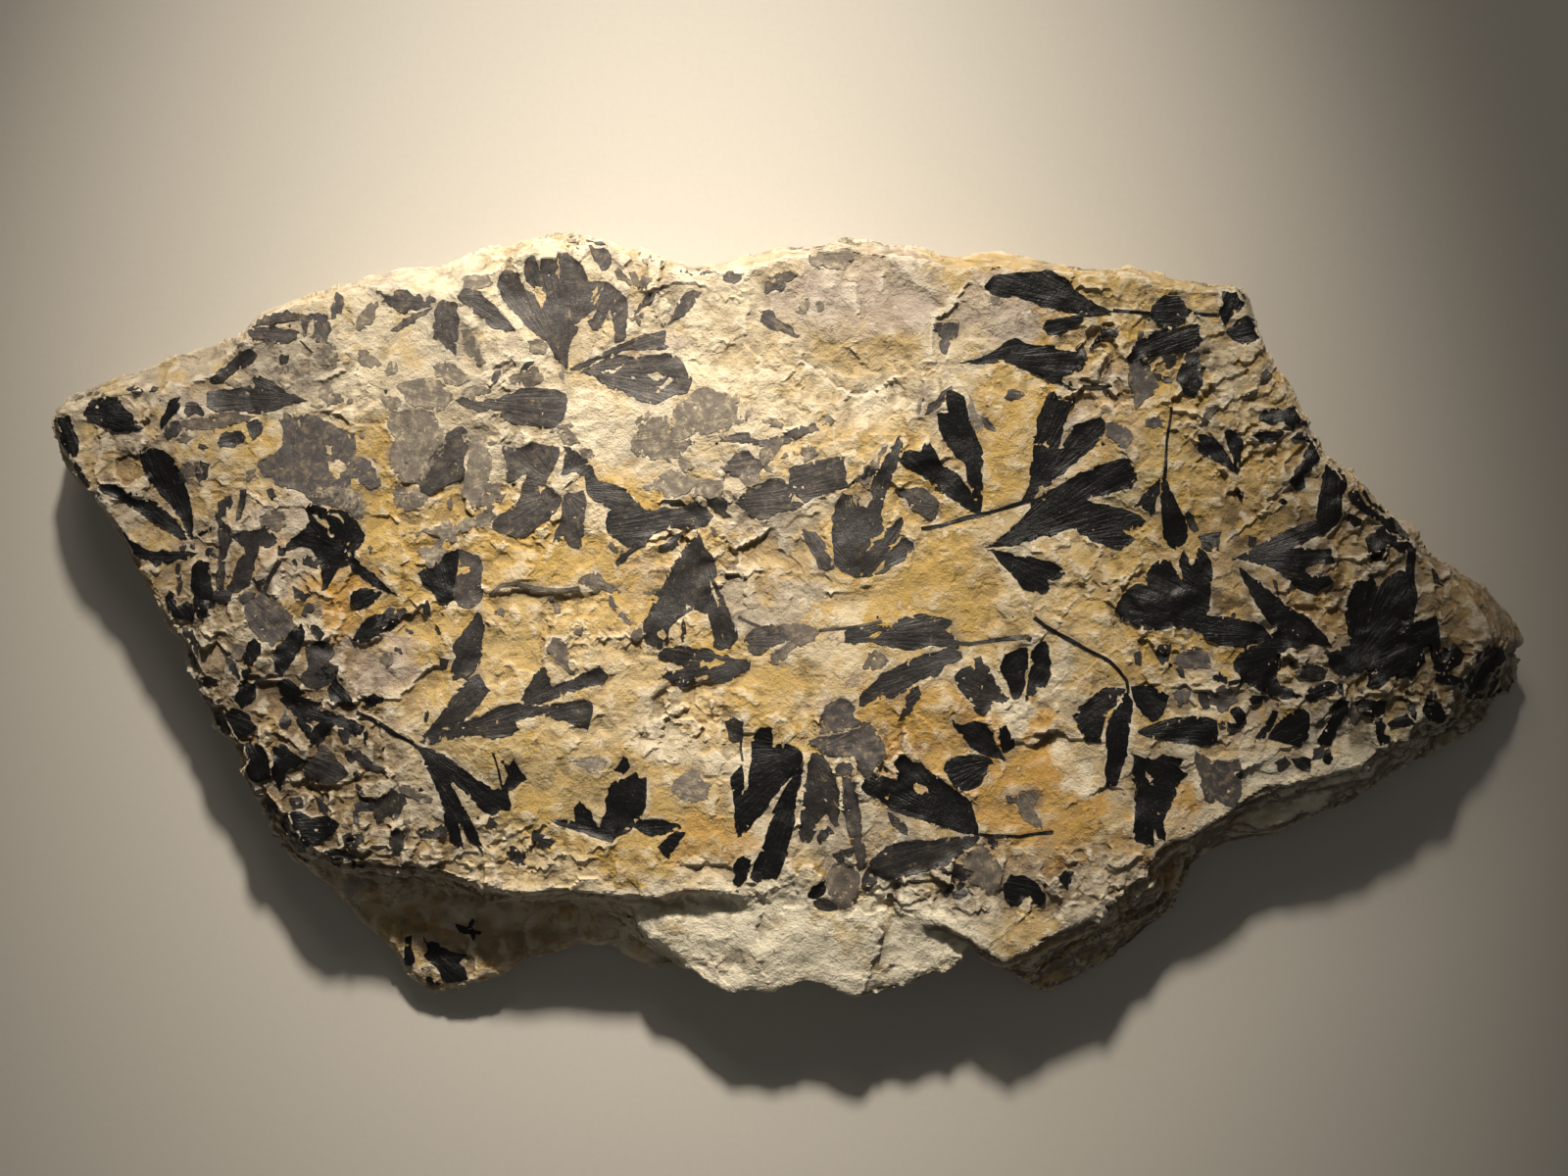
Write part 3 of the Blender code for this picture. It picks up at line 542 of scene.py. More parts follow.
     ("395,812 404,806 413,812 410,826 404,838 398,830", "398,850 406,846 414,852 412,866 404,872 398,862",
      "546,848 556,852 566,858 560,866 548,862 542,856", "442,846 452,842 458,850 450,858 442,856"), (), ()),
    ("upper_faded_patches", "ghost", None,
     ("642,458 655,434 680,424 684,450 702,455 692,468 668,470 650,464",
      "388,404 400,403 409,410 406,421 394,418",
      "311,506 324,499 337,496 352,492 366,505 372,522 364,526 350,519 336,509",
      "990,402 996,418 1002,430 1001,442 994,440 988,420", "1008,300 1018,302 1024,308 1014,313",
      "934,420 938,408 942,403 941,412 937,424", "838,424 846,422 851,428 848,434 840,434",
      "813,319 817,308 824,304 826,310 820,322", "832,308 838,306 840,316 834,318",
      "472,442 490,446 501,468 497,498 485,522 471,502 478,470", "425,563 440,558 457,562 450,575 436,579",
      "470,400 486,394 500,398 492,404 476,406"), (), ()),
    ("upper_grey_patches", "faded", None,
     ("472,336 484,340 487,354 494,364 497,372 486,373 478,362 472,350",
      "513,387 530,380 546,376 558,382 548,390 530,393", "214,422 240,421 259,424 247,431 227,435 216,431",
      "876,491 884,478 893,467 901,457 906,452 901,466 892,481 884,495",
      "402,508 420,503 436,507 430,517 412,520 404,516"), (), ()),
)

# Stains: column, row, half width, half height, tint, strength. The dust patches stand partly for dust and
# partly for painted shade, the smoke patches partly for leaf residue and partly for painted shade, and the
# tan patch over the lower terrace is painted shade, the shadow of the step above it.
STAINS = (
    (410, 330, 150, 90, "cream", 0.75), (690, 430, 130, 70, "cream", 0.7), (560, 240, 120, 26, "cream", 0.8),
    (785, 580, 60, 70, "ash", 0.7), (715, 810, 60, 120, "cream", 0.45), (230, 380, 90, 40, "ash", 0.6),
    (265, 578, 32, 28, "orange", 0.8), (350, 625, 44, 34, "orange", 0.85), (268, 448, 22, 28, "ochre", 0.7),
    (392, 500, 24, 70, "ochre", 0.8), (450, 496, 26, 26, "ochre", 0.7), (542, 520, 34, 50, "ochre", 0.6),
    (432, 640, 64, 84, "ochre", 0.85), (630, 600, 90, 50, "ochre", 0.75), (645, 830, 110, 56, "ochre", 0.8),
    (730, 858, 42, 26, "orange", 0.6), (920, 530, 80, 100, "ochre", 0.7), (1030, 450, 44, 84, "ochre", 0.85),
    (930, 745, 74, 56, "orange", 0.8), (1052, 815, 66, 86, "orange", 0.85),
    (1210, 812, 26, 36, "orange", 0.8), (1245, 742, 22, 24, "ochre", 0.7), (1270, 615, 36, 30, "ochre", 0.7),
    (1332, 615, 32, 26, "ochre", 0.6), (1200, 500, 70, 80, "olive", 0.7), (1452, 676, 18, 18, "ochre", 0.7),
    (560, 575, 80, 36, "ochre", 0.6), (560, 790, 70, 50, "olive", 0.5), (480, 800, 60, 60, "olive", 0.4),
    (760, 720, 70, 40, "ochre", 0.6), (890, 350, 60, 40, "ochre", 0.5), (880, 300, 90, 42, "rose", 0.75),
    (1130, 415, 40, 56, "rose", 0.7), (380, 675, 46, 32, "rose", 0.8), (290, 560, 46, 66, "rose", 0.5),
    (1030, 315, 44, 34, "rose", 0.7), (1480, 640, 100, 110, "ash", 0.7), (1330, 480, 100, 110, "ochre", 0.35),
    (170, 520, 80, 110, "rose", 0.45), (280, 760, 90, 90, "ash", 0.6), (380, 830, 90, 60, "ash", 0.5),
    (1110, 560, 60, 40, "ochre", 0.5), (1130, 640, 60, 46, "ochre", 0.55), (900, 860, 70, 40, "ash", 0.55),
    (1000, 900, 80, 50, "ash", 0.6), (1140, 900, 90, 40, "ash", 0.6), (1040, 735, 22, 22, "fresh", 0.8),
    (1110, 777, 26, 26, "fresh", 0.8), (1220, 700, 26, 24, "fresh", 0.7), (1300, 800, 60, 40, "fresh", 0.7),
    (1400, 770, 90, 34, "fresh", 0.75), (1270, 530, 90, 80, "ochre", 0.6), (1330, 610, 50, 40, "orange", 0.6),
    (1160, 430, 50, 60, "ochre", 0.5), (1190, 570, 44, 40, "ochre", 0.7), (1400, 705, 60, 30, "ochre", 0.5),
    (1180, 690, 60, 50, "ochre", 0.5), (1180, 862, 50, 30, "orange", 0.6), (985, 620, 90, 50, "ochre", 0.5),
    (360, 510, 50, 60, "ochre", 0.7), (480, 570, 70, 56, "ochre", 0.65), (500, 655, 70, 40, "ochre", 0.7),
    (600, 680, 90, 50, "ochre", 0.5), (540, 740, 110, 50, "ochre", 0.5), (240, 480, 60, 50, "ochre", 0.5),
    (430, 540, 60, 46, "ochre", 0.6), (290, 770, 110, 110, "tan", 0.9), (170, 600, 80, 130, "tan", 0.5),
    (430, 975, 150, 50, "tan", 0.8), (1330, 560, 110, 90, "tan", 0.4), (400, 860, 110, 30, "tan", 0.6),
    (350, 590, 30, 34, "orange", 0.9), (285, 785, 130, 120, "dust", 0.42), (190, 630, 75, 100, "dust", 0.3),
    (1420, 700, 130, 90, "dust", 0.3), (1505, 650, 60, 100, "dust", 0.4), (1345, 575, 100, 90, "dust", 0.2),
    (290, 372, 50, 28, "smoke", 0.45), (325, 396, 44, 20, "smoke", 0.35), (470, 400, 70, 60, "smoke", 0.22),
    (690, 465, 60, 50, "smoke", 0.25), (545, 470, 50, 40, "smoke", 0.2), (1490, 600, 60, 90, "tan", 0.7),
    (820, 958, 190, 56, "fresh", 0.95), (1230, 850, 70, 30, "fresh", 0.6), (560, 880, 110, 30, "ochre", 0.4),
)

# Ledges, where a flake has come away: line, drop and how far the low side reaches, both in millimetres. The
# low side is on the left hand as the line is walked.
LEDGES = (
    ("1002,283 990,290 984,300 978,312 970,322 955,330 958,345 962,365", 1.5, 9),
    ("800,372 820,370 845,383 870,398 890,392 910,380 940,373", 1.4, 10),
    ("590,600 560,602 530,598 500,600", 1.5, 7), ("440,620 415,628 400,640 375,650 345,655", 2.2, 8),
    ("460,680 430,690 410,708 380,712 345,715 320,712", 1.8, 8),
    ("1080,735 1080,745 1070,757 1055,765 1042,765", 2.2, 6), ("1148,805 1128,805 1105,815", 2.0, 6),
    ("262,345 250,355 235,368 215,380", 1.6, 10), ("635,652 620,650 605,655", 2.2, 6),
    ("625,732 610,730 600,735", 1.8, 5), ("800,545 780,540 755,548 735,560", 2.0, 9),
    ("790,585 770,580 745,590", 1.8, 7), ("1290,385 1270,400 1245,420 1225,440", 1.3, 11),
    ("1340,470 1310,500 1280,530 1250,560", 1.4, 11), ("1440,560 1410,580 1380,592", 1.6, 9),
    ("1420,700 1390,712 1370,735", 2.2, 8), ("1470,650 1450,672 1430,690", 2.2, 9),
    ("300,520 270,512 240,500", 1.2, 9), ("240,640 220,650 200,640", 1.8, 8),
    ("300,700 270,700 240,712", 2.2, 9), ("350,800 320,806 290,800 268,808", 2.4, 9),
    ("420,870 380,866 340,872", 2.2, 8), ("520,850 490,872 450,878", 1.6, 9),
    ("930,470 880,476 850,500", 0.9, 12), ("1130,600 1100,612 1075,640", 1.0, 9),
    ("730,300 700,292 672,290 650,300", 1.2, 9), ("960,905 930,900 900,908", 1.6, 7),
    ("850,280 870,290 880,315 876,335", 0.9, 9), ("905,265 900,290 890,310", 0.8, 8),
    ("690,700 670,712 664,740", 1.4, 8), ("1250,700 1222,708 1190,700", 2.2, 7),
    ("1300,775 1270,790 1262,812", 2.0, 8), ("870,600 850,606 836,600", 1.6, 5),
    ("890,935 896,955 884,985 878,1005", 2.4, 9), ("780,925 770,950 776,975", 1.0, 12),
)

# Calm places, where the bedding plane is smooth: column, row, half width, half height.
CALM = (
    (880, 310, 100, 62), (690, 440, 90, 60), (640, 590, 90, 50), (1020, 470, 60, 90), (1050, 820, 60, 70),
    (820, 962, 150, 34), (700, 962, 40, 20), (1490, 600, 55, 80), (940, 640, 90, 60), (320, 470, 60, 50),
    (640, 830, 90, 46), (420, 360, 70, 50), (840, 660, 90, 60),
)

# Scraps of leaf strewn about: column, row, half width, half height, how many, the longest in millimetres,
# tone.
LITTER = (
    (290, 760, 90, 110, 8, 15.0, "coal"), (330, 790, 120, 90, 8, 13.0, "worn"),
    (220, 620, 60, 110, 7, 12.0, "coal"), (260, 540, 90, 110, 10, 12.0, "worn"),
    (1370, 690, 130, 90, 18, 16.0, "coal"), (1350, 560, 130, 110, 10, 13.0, "coal"),
    (1230, 640, 110, 110, 12, 10.0, "worn"), (1170, 380, 70, 60, 8, 9.0, "worn"),
    (420, 860, 130, 40, 10, 11.0, "worn"), (480, 980, 70, 40, 10, 12.0, "coal"),
    (900, 880, 130, 44, 12, 10.0, "worn"), (430, 480, 120, 90, 16, 15.0, "faded"),
    (620, 560, 150, 100, 14, 9.0, "faded"), (400, 690, 130, 70, 6, 7.0, "worn"),
    (640, 300, 200, 50, 10, 10.0, "faded"), (300, 370, 100, 50, 14, 14.0, "ghost"),
    (720, 470, 110, 60, 14, 15.0, "ghost"), (560, 430, 160, 60, 12, 13.0, "ghost"),
)

# Hackly places, where the stone broke across its bedding: column, row, half width, half height.
HACKLY = (
    (300, 800, 120, 110), (1420, 660, 150, 130), (1300, 440, 110, 90), (420, 870, 120, 40),
    (1000, 900, 190, 46), (230, 640, 70, 90), (700, 560, 70, 46), (120, 450, 60, 60), (700, 715, 46, 40),
    (590, 640, 46, 36), (1180, 620, 60, 60), (1120, 380, 60, 50), (560, 250, 60, 30), (560, 870, 90, 36),
    (890, 780, 50, 40),
)

# Grimy places, where dark tissue is ground into the stone: column, row, half width, half height.
GRIMY = (
    (290, 775, 110, 110), (225, 640, 70, 90), (1410, 680, 140, 100), (1330, 560, 90, 90), (380, 868, 110, 26),
    (120, 440, 50, 50), (1180, 380, 60, 50), (1230, 650, 60, 60),
)

# The smoke and dust tints stand both for real stain and for painted shade, and rim both for pale chipped
# stone and for a painted highlight.
TINTS = {
    "beige": "#beae90", "cream": "#dccfb4", "ochre": "#bb9b56", "orange": "#bb8e3e", "tan": "#98805c",
    "olive": "#97834f", "rose": "#ab9d93", "ash": "#988d7e", "fresh": "#ece2c8", "rim": "#e9e0cb",
    "smoke": "#6f675f", "dust": "#62523a", "brown": "#54432c",
}


def linear(colour):
    """An sRGB hex colour as linear red, green, blue and alpha."""
    levels = [int(colour[i:i + 2], 16) / 255 for i in (1, 3, 5)]
    return tuple(v / 12.92 if v <= 0.04045 else ((v + 0.055) / 1.055) ** 2.4 for v in levels) + (1.0,)


def plan(text):
    """The outline in millimetres of points written as column,row."""
    squares = np.array([pair.split(",") for pair in text.split()], float)
    return np.column_stack([PLAN_LEFT + SQUARE * squares[:, 0], PLAN_TOP - SQUARE * squares[:, 1]])


def patch_gap(x, y, column, row, wide, high):
    """How far each point lies from the middle of an oval patch on the plan, with 1 at its rim."""
    centre = plan("%g,%g" % (column, row))[0]
    return np.hypot((x - centre[0]) / (wide * SQUARE), (y - centre[1]) / (high * SQUARE))


def seen_from_eye(points):
    """Where each point falls on the plan, which lies at the height of the face."""
    reach = (EYE[2] - FACE_HEIGHT) / (EYE[2] - points[:, 2])
    return EYE[:2] + (points[:, :2] - EYE[:2]) * reach[:, None]


def ripple(x, y, size, seed):
    """Smooth random values from -1 to 1 that change over `size` millimetres."""
    u, v = x / size + 31.7 * seed, y / size - 17.3 * seed
    i, j = np.floor(u), np.floor(v)
    s, t = u - i, v - j
    s, t = s * s * (3 - 2 * s), t * t * (3 - 2 * t)

    def corner(a, b):
        value = np.sin((i + a) * 127.1 + (j + b) * 311.7 + seed * 74.7) * 43758.5453
        return 2 * (value - np.floor(value)) - 1

    low = corner(0, 0) * (1 - s) + corner(1, 0) * s
    high = corner(0, 1) * (1 - s) + corner(1, 1) * s
    return low * (1 - t) + high * t


def mottle(x, y, size, seed):
    """Ripples of three sizes together, from about -1 to 1."""
    return 0.6 * ripple(x, y, size, seed) + 0.3 * ripple(x, y, size / 2.1, seed + 1) \
        + 0.2 * ripple(x, y, size / 4.3, seed + 2)


def ease(low, high, values):
    t = np.clip((values - low) / (high - low), 0, 1)
    return t * t * (3 - 2 * t)


NOISE = "ShaderNodeTexNoise"


def node(tree, kind, inputs=None, **settings):
    """Adds a node. An input is a value, a socket or a node, whose first output is taken."""
    made = tree.nodes.new(kind)
    for name, value in settings.items():
        setattr(made, name, value)
    for key, value in (inputs or {}).items():
        if isinstance(value, bpy.types.Node):
            value = value.outputs[0]
        if isinstance(value, bpy.types.NodeSocket):
            tree.links.new(value, made.inputs[key])
        else:
            made.inputs[key].default_value = value
    return made


def sum_of(tree, *products):
    """The sum of the products, each of them the values and sockets to be multiplied together."""
    parts = []
    for part, *factors in products:
        for factor in factors:
            part = node(tree, "ShaderNodeMath", {0: part, 1: factor}, operation="MULTIPLY")
        parts.append(part)
    out, *rest = parts
    for part in rest:
        out = node(tree, "ShaderNodeMath", {0: out, 1: part}, operation="ADD")
    return out


def new_object(name, data):
    made = bpy.data.objects.new(name, data)
    bpy.context.scene.collection.objects.link(made)
    return made


def mesh_object(name, points, faces, material):
    """An object at the origin from points in millimetres."""
    mesh = bpy.data.meshes.new(name)
    mesh.from_pydata((np.asarray(points) * MM).tolist(), [], [tuple(f) for f in np.asarray(faces).tolist()])
    mesh.materials.append(material)
    mesh.shade_smooth()
    return new_object(name, mesh)


def positions(mesh):
    points = np.empty(len(mesh.vertices) * 3, np.float32)
    mesh.vertices.foreach_get("co", points)
    return points.reshape(-1, 3).astype(float) / MM


def normals(mesh):
    values = np.empty(len(mesh.vertices) * 3, np.float32)
    mesh.vertex_normals.foreach_get("vector", values)
    return values.reshape(-1, 3)


def store(mesh, name, values, kind="FLOAT"):
    attribute = mesh.attributes.new(name, kind, "POINT")
    field = {"FLOAT": "value", "FLOAT_VECTOR": "vector", "FLOAT_COLOR": "color"}[kind]
    attribute.data.foreach_set(field, np.ascontiguousarray(values, np.float32).ravel())


def plain_mesh(source, name):
    """The evaluated object as a plain mesh in an object of its own, with the source removed."""
    graph = bpy.context.evaluated_depsgraph_get()
    mesh = bpy.data.meshes.new_from_object(source.evaluated_get(graph), preserve_all_data_layers=True,
                                           depsgraph=graph)
    bpy.data.objects.remove(source)
    return new_object(name, mesh)


# Outlines -----------------------------------------------------------------------------------------

SAMPLE = 1.0
CORNER_COSINE = 0.72
RAGGED = {"coal": 0.4, "worn": 0.44, "dull": 0.4, "faded_dark": 0.6, "faded": 0.7, "ghost": 0.7}
HOLES_PER_CM2 = {"coal": 0.5, "worn": 1.3, "dull": 1.3, "faded_dark": 2.6, "faded": 4.0, "ghost": 4.0}
BITES_PER_CM = {"coal": 0.6, "worn": 0.75, "dull": 0.7, "faded_dark": 0.9, "faded": 1.2, "ghost": 1.2}


def rounded(corners):
    """The outline through the corners, curved where it turns gently and left sharp where it turns hard."""
    ahead = np.roll(corners, -1, 0) - corners
    lengths = np.linalg.norm(ahead, axis=1) + 1e-9
    behind = np.roll(ahead, 1, 0)
    turn = (ahead * behind).sum(1) / (lengths * np.roll(lengths, 1))
    gentle = (turn > CORNER_COSINE)[:, None]
    leave = np.where(gentle, (ahead + behind) / 2, ahead)
    arrive = np.roll(np.where(gentle, (ahead + behind) / 2, behind), -1, 0)
    out = []
    for k in range(len(corners)):
        count = max(1, int(round(lengths[k] / SAMPLE)))
        t = (np.arange(count) / count)[:, None]
        a, b = corners[k], corners[(k + 1) % len(corners)]
        out.append((2 * t**3 - 3 * t**2 + 1) * a + (t**3 - 2 * t**2 + t) * leave[k]
                   + (3 * t**2 - 2 * t**3) * b + (t**3 - t**2) * arrive[k])
    return np.concatenate(out)


def frayed(outline, amount):
    """The outline torn: ragged over 1 to 4 mm, with a step wherever the tear jumps from vein to vein."""
    x, y = outline.T
    shift = np.column_stack([0.8 * ripple(x, y, 1.3, k) + 0.8 * ripple(x, y, 4.0, k + 1)
                             + 1.3 * np.sign(ripple(x, y, 2.8, k + 2)) * np.abs(ripple(x, y, 7.0, k + 20))
                             for k in (3, 6)])
    return outline + amount * shift


def blob(centre, radius, random):
    count = random.integers(6, 11)
    angles = np.sort(random.uniform(0, 2 * math.pi, count))
    reach = radius * random.uniform(0.45, 1.25, count)
    stretch = random.uniform(0.6, 1.4)
    return centre + np.column_stack([np.cos(angles) * reach * stretch, np.sin(angles) * reach / stretch])


def strip(line, width):
    """The outline of a stalk of that width along a line."""
    steps = [line[0]]
    for a, b in zip(line[:-1], line[1:]):
        count = max(1, int(np.linalg.norm(b - a) / SAMPLE))
        steps.extend(a + (b - a) * (np.arange(1, count + 1) / count)[:, None])
    steps = np.array(steps)
    steps += 0.3 * np.column_stack([ripple(*steps.T, 9.0, 8), ripple(*steps.T, 9.0, 9)])
    along = np.gradient(steps, axis=0)
    across = np.column_stack([-along[:, 1], along[:, 0]]) / (np.linalg.norm(along, axis=1)[:, None] + 1e-9)
    half = width / 2 * (1 + 0.25 * ripple(*steps.T, 5.0, 10))[:, None]
    return np.concatenate([steps + across * half, (steps - across * half)[::-1]])


def in_box(points, outline, margin=0.0):
    """Which points lie in the outline's box widened by the margin."""
    return ((points >= outline.min(0) - margin) & (points <= outline.max(0) + margin)).all(1)


def inside(points, outline):
    x, y = points[:, :1], points[:, 1:]
    (x1, y1), (x2, y2) = outline.T, np.roll(outline, -1, 0).T
    crossing = ((y1 > y) != (y2 > y)) & (x < (x2 - x1) * (y - y1) / (y2 - y1 + 1e-12) + x1)
    return crossing.sum(1) % 2 == 1


def to_line(points, line, loop=False):
    """How far each point is from the line, and on which side of it, positive to the left."""
    ends = np.roll(line, -1, 0) if loop else line[1:]
    starts = line if loop else line[:-1]
    best = np.full(len(points), np.inf)
    side = np.zeros(len(points))
    for a, b in zip(starts, ends):
        along = b - a
        offset = points - a
        t = np.clip(offset @ along / (along @ along + 1e-12), 0, 1)
        gap = np.linalg.norm(offset - t[:, None] * along, axis=1)
        nearer = gap < best
        best[nearer] = gap[nearer]
        side[nearer] = (along[0] * offset[nearer, 1] - along[1] * offset[nearer, 0])
    return best, np.sign(side)


class Leaf:
    """One leaf film: its lobes and stalks, the places flaked off it, and how its veins run."""

    def __init__(self, number, name, tone, foot, lobes, holes, stalks):
        random = np.random.default_rng(100 + number)
        self.name, self.tone = name, tone
        shapes = [plan(text) for text in lobes]
        self.feet = []
        for shape in shapes:
            if foot is not None:
                origin = plan("%g,%g" % foot)[0]
            else:
                middle = shape.mean(0)
                axis = np.linalg.svd(shape - middle)[2][0]
                length = np.abs((shape - middle) @ axis).max()
                origin = middle - axis * length * 3.5
            self.feet.append((shape.mean(0), origin, np.linalg.norm(shape.mean(0) - origin)))
        self.lobes = [frayed(rounded(shape), RAGGED[tone]) for shape in shapes]
        for text, width in stalks:
            line = plan(text)
            self.lobes.append(strip(line, width * SQUARE))
            self.feet.append((line.mean(0), line[0], np.linalg.norm(line.mean(0) - line[0])))
        self.holes = [frayed(rounded(plan(text)), 1.0) for text in holes]
        for shape in self.lobes[:len(shapes)]:
            ahead = np.roll(shape, -1, 0) - shape
            (x, y), (next_x, next_y) = shape.T, np.roll(shape, -1, 0).T
            area = abs((x * next_y - y * next_x).sum()) / 200
            bites = random.poisson(BITES_PER_CM[tone] * np.linalg.norm(ahead, axis=1).sum() / 10)
            for k in random.integers(0, len(shape), bites):
                self.holes.append(blob(shape[k], random.uniform(0.5, 1.5), random))
            low, high = shape.min(0), shape.max(0)
            for _ in range(random.poisson(HOLES_PER_CM2[tone] * area)):
                self.holes.append(blob(random.uniform(low, high), random.uniform(0.3, 1.1), random))

    def covers(self, points):
        kept = np.zeros(len(points), bool)
        for shape in self.lobes:
            near = np.flatnonzero(in_box(points, shape) & ~kept)
            kept[near[inside(points[near], shape)]] = True
        for shape in self.holes:
            near = np.flatnonzero(in_box(points, shape) & kept)
            kept[near[inside(points[near], shape)]] = False
        return kept

    def distance(self, points, reach):
        """How far each point lies outside the leaf, negative inside and never more than `reach`."""
        out = np.full(len(points), reach)
        for shape in self.lobes:
            near = np.flatnonzero(in_box(points, shape, reach))
            gap, _ = to_line(points[near], shape, loop=True)
            gap = np.where(inside(points[near], shape), -gap, gap)
            out[near] = np.minimum(out[near], gap)
        return out

    def triangles(self):
        """Points of the flat film and its triangles."""
        random = np.random.default_rng(7)
        corners = np.concatenate(self.lobes)
        low, high = corners.min(0), corners.max(0)
        rows = np.arange(low[1], high[1], FILM_SPACING * 0.866)
        columns = np.arange(low[0], high[0], FILM_SPACING)
        grid = np.array([(x + (k % 2) * FILM_SPACING / 2, y) for k, y in enumerate(rows) for x in columns])
        grid = grid + random.uniform(-0.2, 0.2, grid.shape)
        keep = self.covers(grid)
        for shape in self.lobes + self.holes:
            near = np.flatnonzero(in_box(grid, shape, 1.0) & keep)
            keep[near[to_line(grid[near], shape, loop=True)[0] < EDGE_ROOM]] = False
        points, edges = list(map(tuple, grid[keep])), []
        for shape in self.lobes + self.holes:
            first = len(points)
            points.extend(map(tuple, shape))
            edges.extend((first + k, first + (k + 1) % len(shape)) for k in range(len(shape)))
        found = delaunay_2d_cdt([Vector(p) for p in points], edges, [], 0, 1e-4)
        flat = np.array([tuple(v) for v in found[0]])
        faces = np.array([f for f in found[2] if len(f) == 3])
        faces = faces[self.covers(flat[faces].mean(1))]
        return flat, faces

    def veins(self, points):
        """Across and along the veins, in millimetres."""
        centres = np.array([centre for centre, _, _ in self.feet])
        owner = np.linalg.norm(points[:, None] - centres, axis=2).argmin(1)
        for k, shape in enumerate(self.lobes):
            owner[inside(points, shape)] = k
        out = np.zeros((len(points), 3))
        for k, (centre, origin, length) in enumerate(self.feet):
            mine = owner == k
            offset = points[mine] - origin
            ahead = math.atan2(*(centre - origin)[::-1])
            angle = np.arctan2(offset[:, 1], offset[:, 0]) - ahead
            angle = (angle + math.pi) % (2 * math.pi) - math.pi
            out[mine, 0] = angle * max(length, 6.0) + 50 * k
            out[mine, 1] = np.linalg.norm(offset, axis=1)
        return out


leaves = [Leaf(number, *row) for number, row in enumerate(LEAVES)]


# Materials ----------------------------------------------------------------------------------------

def material(name):
    made = bpy.data.materials.new(name)
    made.use_nodes = True
    made.node_tree.nodes.clear()
    return made, made.node_tree


def in_millimetres(tree):
    place = node(tree, "ShaderNodeTexCoord").outputs["Object"]
    return node(tree, "ShaderNodeVectorMath", {0: place, 3: 1000.0}, operation="SCALE")


def tinted(tree, colour, *layers):
    """The colour with each layer laid over it: what the layer follows, where it starts, where it is full, its
    share there, and its tint. A colour is hex or a socket."""
    if isinstance(colour, str):
        colour = linear(colour)
    for value, start, full, share, tint in layers:
        if isinstance(tint, str):
            tint = linear(tint)
        share = node(tree, "ShaderNodeMapRange", {0: value, 1: start, 2: full, 4: share})
        colour = node(tree, "ShaderNodeMix", {0: share, 6: colour, 7: tint}, data_type="RGBA").outputs[2]
    return colour


def finish_surface(tree, colour, roughness, ior, height, strength=1.0, depth=MM):
    """The surface, with the pattern `height` as relief, `depth` metres for each unit of it."""
    bump = node(tree, "ShaderNodeBump", {"Height": height, "Strength": strength, "Distance": depth})
    surface = node(tree, "ShaderNodeBsdfPrincipled",
                   {"Base Color": colour, "Roughness": roughness, "IOR": ior, "Normal": bump})
    node(tree, "ShaderNodeOutputMaterial", {0: surface})


def facets(tree, place, size, slope, step):
    """The height in millimetres of a surface broken into small tilted planes, each `size` across."""
    cells = node(tree, "ShaderNodeTexVoronoi", {"Vector": place, "Scale": 1.0 / size}, feature="F1").outputs
    offset = node(tree, "ShaderNodeVectorMath", {0: place, 1: cells["Position"]}, operation="SUBTRACT")
    tilt = node(tree, "ShaderNodeVectorMath", {0: cells["Color"], 1: (0.5, 0.5, 0.5)}, operation="SUBTRACT")
    climb = node(tree, "ShaderNodeVectorMath", {0: offset, 1: tilt}, operation="DOT_PRODUCT").outputs["Value"]
    level = node(tree, "ShaderNodeSeparateXYZ", {0: tilt}).outputs[0]
    return sum_of(tree, (climb, 2 * slope), (level, 2 * step))


def warped(tree, place, size, amount):
    """The place pushed about by noise, so that edges drawn on it aren't straight."""
    push = node(tree, NOISE, {"Vector": place, "Scale": 1.0 / size, "Detail": 3.0}).outputs["Color"]
    push = node(tree, "ShaderNodeVectorMath", {0: push, 3: amount}, operation="SCALE")
    return node(tree, "ShaderNodeVectorMath", {0: place, 1: push}, operation="ADD").outputs[0]


def broken_height(tree, place, hackle):
    """Height in millimetres of the fine breakage: sandy grain all over, and chips where `hackle` is high."""
    # Silt grains are under 0.06 mm; here and in the colour they are drawn 0.6 to 0.8 mm across so that they
    # show.
    chips = facets(tree, warped(tree, place, 4.0, 3.0), 3.2, 0.17, 0.05)
    sand = node(tree, NOISE, {"Vector": place, "Scale": 1 / 2.0, "Detail": 3.0, "Roughness": 0.62})
    grain = node(tree, NOISE, {"Vector": place, "Scale": 1 / 0.8, "Detail": 2.0, "Roughness": 0.6})
    return sum_of(tree, (chips, hackle), (sand, 0.66), (grain, 0.34))


STONE_IOR = 1.54
LINE_WEIGHT = 1.7


